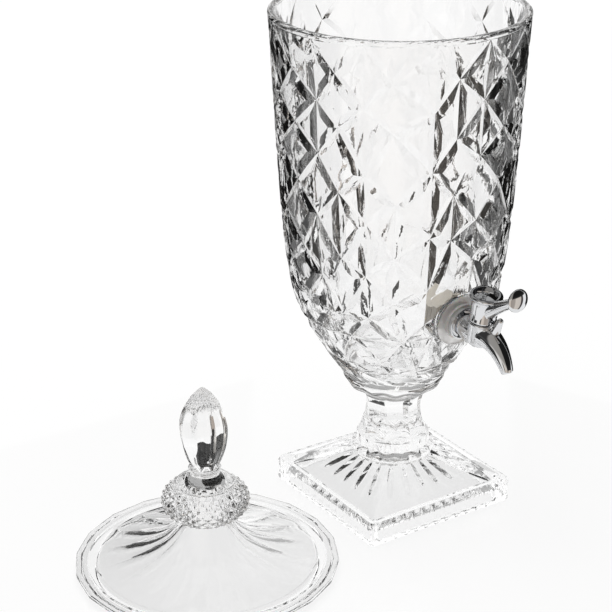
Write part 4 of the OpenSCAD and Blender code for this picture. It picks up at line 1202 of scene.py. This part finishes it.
class URN_OT_studio(bpy.types.Operator):
    """Set up the pale floor, the soft light and the camera"""
    bl_idname = "urn.studio"
    bl_label = "Studio"

    def execute(self, context):
        scene = context.scene
        camera = bpy.data.cameras.new("camera")
        camera.lens = 106.456
        camera.sensor_width = 36
        camera.clip_end = 50
        viewer = bpy.data.objects.new("camera", camera)
        heading, pitch, roll = VIEW_HEADING, math.radians(-23.665), math.radians(-0.287)
        forward = Vector((math.sin(heading) * math.cos(pitch), math.cos(heading) * math.cos(pitch),
                          math.sin(pitch)))
        turn = forward.to_track_quat("-Z", "Y").to_matrix().to_4x4()
        viewer.matrix_world = (Matrix.Translation((-0.71409, -0.97066, 0.67822)) @ turn
                               @ Matrix.Rotation(roll, 4, "Z"))
        scene.collection.objects.link(viewer)
        scene.camera = viewer

        self.floor(context)
        self.sky(context)
        self.softbox(context)
        self.cards(context)
        scene.view_settings.view_transform = "Standard"
        scene.view_settings.look = "None"
        scene.cycles.max_bounces = 40
        scene.cycles.transmission_bounces = 32
        scene.cycles.glossy_bounces = 12
        scene.cycles.transparent_max_bounces = 24
        scene.cycles.sample_clamp_indirect = 6
        return {"FINISHED"}

    def floor(self, context):
        """Round pale floor; a small disc under the pieces, and a wide ring that only the camera sees."""
        material, tree, out = new_material("painted_floor")
        place = node(tree, "ShaderNodeTexCoord")
        grain = node(tree, "ShaderNodeTexNoise", inputs={"Scale": 60.0, "Detail": 3.0},
                     links={"Vector": place.outputs["Object"]})
        rough = node(tree, "ShaderNodeMapRange", inputs={"To Min": 0.16, "To Max": 0.28},
                     links={"Value": grain.outputs["Fac"]})
        shader = node(tree, "ShaderNodeBsdfPrincipled",
                      inputs={"Base Color": rgba(context.scene.urn_finish.floor), "IOR": 1.4,
                              "Emission Color": (1, 1, 1, 1), "Emission Strength": 0.87,
                              "Specular IOR Level": 0.15},
                      links={"Roughness": rough.outputs["Result"]})
        tree.links.new(shader.outputs["BSDF"], out.inputs["Surface"])
        a = np.linspace(0, 2 * math.pi, 129)[:-1]
        middle = (-0.06, 0.0)
        for name, radii in (("floor_near", [0.0, 0.16, 0.31]), ("floor_far", [0.31, 1.2, 6.0])):
            rings = turned(np.array(radii), np.zeros(3), a, middle)
            mesh = bpy.data.meshes.new(name)
            faces = ring_faces(3, len(a))
            mesh.from_pydata(rings.reshape(-1, 3).tolist(), [], faces.tolist())
            obj = bpy.data.objects.new(name, mesh)
            mesh.materials.append(material)
            context.scene.collection.objects.link(obj)
            if name == "floor_far":
                obj.visible_transmission = False
                obj.visible_glossy = False
                obj.visible_diffuse = False

    def sky(self, context):
        """White studio whose camera side is a room of dark and warm stripes, under a dim ceiling."""
        world = bpy.data.worlds.new("studio")
        context.scene.world = world
        world.use_nodes = True
        tree = world.node_tree
        tree.nodes.clear()
        place = node(tree, "ShaderNodeTexCoord")
        split = node(tree, "ShaderNodeSeparateXYZ", links={"Vector": place.outputs["Generated"]})
        bearing = node(tree, "ShaderNodeMath", {"operation": "ARCTAN2"},
                       links={0: split.outputs["X"], 1: split.outputs["Y"]})
        # Share of the way round from straight behind the picture, through its left, front and right
        turns = node(tree, "ShaderNodeMath", {"operation": "MULTIPLY_ADD"},
                     {1: -0.5 / math.pi, 2: 1 + VIEW_HEADING * 0.5 / math.pi},
                     {0: bearing.outputs[0]})
        share = node(tree, "ShaderNodeMath", {"operation": "FRACT"}, links={0: turns.outputs[0]})
        low_room = self.stripes(tree, share, [
            (-105, 1.0, 1.0, 1.0), (-100, 0.04, 0.04, 0.04), (-58, 0.04, 0.04, 0.04), (-54, 0.95, 0.93, 0.9),
            (-34, 0.95, 0.93, 0.9), (-31, 0.08, 0.07, 0.06), (-25, 0.08, 0.07, 0.06), (-21, 0.78, 0.7, 0.62),
            (-3, 0.72, 0.64, 0.56), (4, 0.4, 0.35, 0.31), (36, 0.45, 0.4, 0.36), (42, 0.75, 0.68, 0.61),
            (70, 0.7, 0.64, 0.58), (74, 0.07, 0.06, 0.06), (83, 0.07, 0.06, 0.06), (87, 1.0, 1.0, 1.0)])
        high_room = self.stripes(tree, share, [
            (-105, 1.0, 1.0, 1.0), (-98, 0.1, 0.1, 0.1), (-70, 0.1, 0.1, 0.1), (-62, 0.85, 0.82, 0.78),
            (8, 0.8, 0.76, 0.7), (14, 0.03, 0.03, 0.03), (98, 0.03, 0.03, 0.03), (105, 1.0, 1.0, 1.0)])
        above = node(tree, "ShaderNodeMapRange", {"interpolation_type": "SMOOTHSTEP"},
                     {"From Min": 0.02, "From Max": 0.1}, {"Value": split.outputs["Z"]})
        room = node(tree, "ShaderNodeMix", {"data_type": "RGBA"}, links={"Factor": above.outputs["Result"]})
        tree.links.new(low_room.outputs["Color"], room.inputs[6])
        tree.links.new(high_room.outputs["Color"], room.inputs[7])
        ceiling = node(tree, "ShaderNodeMapRange", {"interpolation_type": "SMOOTHSTEP"},
                       {"From Min": 0.03, "From Max": 0.3, "To Min": 1.0, "To Max": 0.42},
                       {"Value": split.outputs["Z"]})
        light = node(tree, "ShaderNodeMath", {"operation": "MULTIPLY"}, {0: 1.02},
                     {1: ceiling.outputs[0]})
        path = node(tree, "ShaderNodeLightPath")
        seen = node(tree, "ShaderNodeMix", {"data_type": "FLOAT"}, {"B": 1.1},
                    {"Factor": path.outputs["Is Camera Ray"], "A": light.outputs[0]})
        hue = node(tree, "ShaderNodeMix", {"data_type": "RGBA"}, {7: (1, 1, 1, 1)},
                   {"Factor": path.outputs["Is Camera Ray"], 6: room.outputs[2]})
        ground = node(tree, "ShaderNodeBackground",
                      links={"Color": hue.outputs[2], "Strength": seen.outputs["Result"]})
        node(tree, "ShaderNodeOutputWorld", links={"Surface": ground.outputs[0]})

    def stripes(self, tree, share, stops):
        """A colour ramp over the bearing, from stops of (degrees right of the camera, red, green, blue)."""
        ramp = node(tree, "ShaderNodeValToRGB", links={"Fac": share.outputs[0]})
        elements = ramp.color_ramp.elements
        while len(elements) < len(stops):
            elements.new(0.5)
        for element, (degrees, *tint) in zip(elements, stops):
            element.position = 0.5 + degrees / 360
            element.color = (*tint, 1)
        return ramp

    def cards(self, context):
        """Two black cards just outside the picture, one each side of the urn, that draw its edges."""
        material, tree, out = new_material("black_card")
        place = node(tree, "ShaderNodeTexCoord")
        felt = node(tree, "ShaderNodeTexNoise", inputs={"Scale": 400.0, "Detail": 2.0},
                    links={"Vector": place.outputs["Object"]})
        shade = node(tree, "ShaderNodeMapRange", inputs={"To Min": 0.006, "To Max": 0.016},
                     links={"Value": felt.outputs["Fac"]})
        black = node(tree, "ShaderNodeBsdfDiffuse", links={"Color": shade.outputs["Result"]})
        tree.links.new(black.outputs[0], out.inputs["Surface"])
        heading = VIEW_HEADING
        right = np.array([math.cos(heading), -math.sin(heading), 0])
        back = np.array([math.sin(heading), math.cos(heading), 0])
        for name, side in (("card_right", 1), ("card_left", -1)):
            corners = [side * s * right + d * back + np.array([0, 0, z])
                       for s, d, z in ((0.11, 0.2, 0.004), (0.42, 0.0, 0.004), (0.42, 0.0, 0.5),
                                       (0.15, 0.2, 0.5))]
            mesh = bpy.data.meshes.new(name)
            mesh.from_pydata([tuple(c) for c in corners], [], [(0, 1, 2, 3)])
            card = bpy.data.objects.new(name, mesh)
            mesh.materials.append(material)
            context.scene.collection.objects.link(card)
            card.visible_camera = False
            card.visible_diffuse = False
            card.visible_shadow = False

    def softbox(self, context):
        """One wide softbox overhead."""
        data = bpy.data.lights.new("overhead_softbox", "AREA")
        data.shape = "SQUARE"
        data.size = 1.6
        data.energy = 30
        lamp = bpy.data.objects.new("overhead_softbox", data)
        lamp.matrix_world = Matrix.Translation((-0.1, 0.1, 1.9))
        lamp.visible_camera = False
        lamp.visible_transmission = False
        lamp.visible_glossy = False
        context.scene.collection.objects.link(lamp)


# ---- panel and run ---------------------------------------------------------------------------

OPERATORS = (URN_OT_studio, URN_OT_bowl, URN_OT_pedestal, URN_OT_lid, URN_OT_tap, URN_OT_finishes)


class URN_PT_panel(bpy.types.Panel):
    """Sizes, colours and builders of the urn"""
    bl_idname = "URN_PT_panel"
    bl_label = "Glass urn"
    bl_space_type = "VIEW_3D"
    bl_region_type = "UI"
    bl_category = "Glass urn"

    def draw(self, context):
        for name, group in SIZES.items():
            box = self.layout.box()
            box.label(text=group.__doc__)
            for key in group.__annotations__:
                box.prop(getattr(context.scene, name), key)
        for operator in OPERATORS:
            self.layout.operator(operator.bl_idname)


CLASSES = (*SIZES.values(), *OPERATORS, URN_PT_panel)


def register():
    for cls in CLASSES:
        bpy.utils.register_class(cls)
    for name, group in SIZES.items():
        setattr(bpy.types.Scene, name, bpy.props.PointerProperty(type=group))


def unregister():
    for name in SIZES:
        delattr(bpy.types.Scene, name)
    for cls in reversed(CLASSES):
        bpy.utils.unregister_class(cls)


def main():
    register()
    bpy.ops.urn.studio()
    bpy.ops.urn.bowl()
    bpy.ops.urn.pedestal()
    bpy.ops.urn.lid()
    bpy.ops.urn.tap()
    bpy.ops.urn.finishes()


if __name__ == "__main__":
    main()
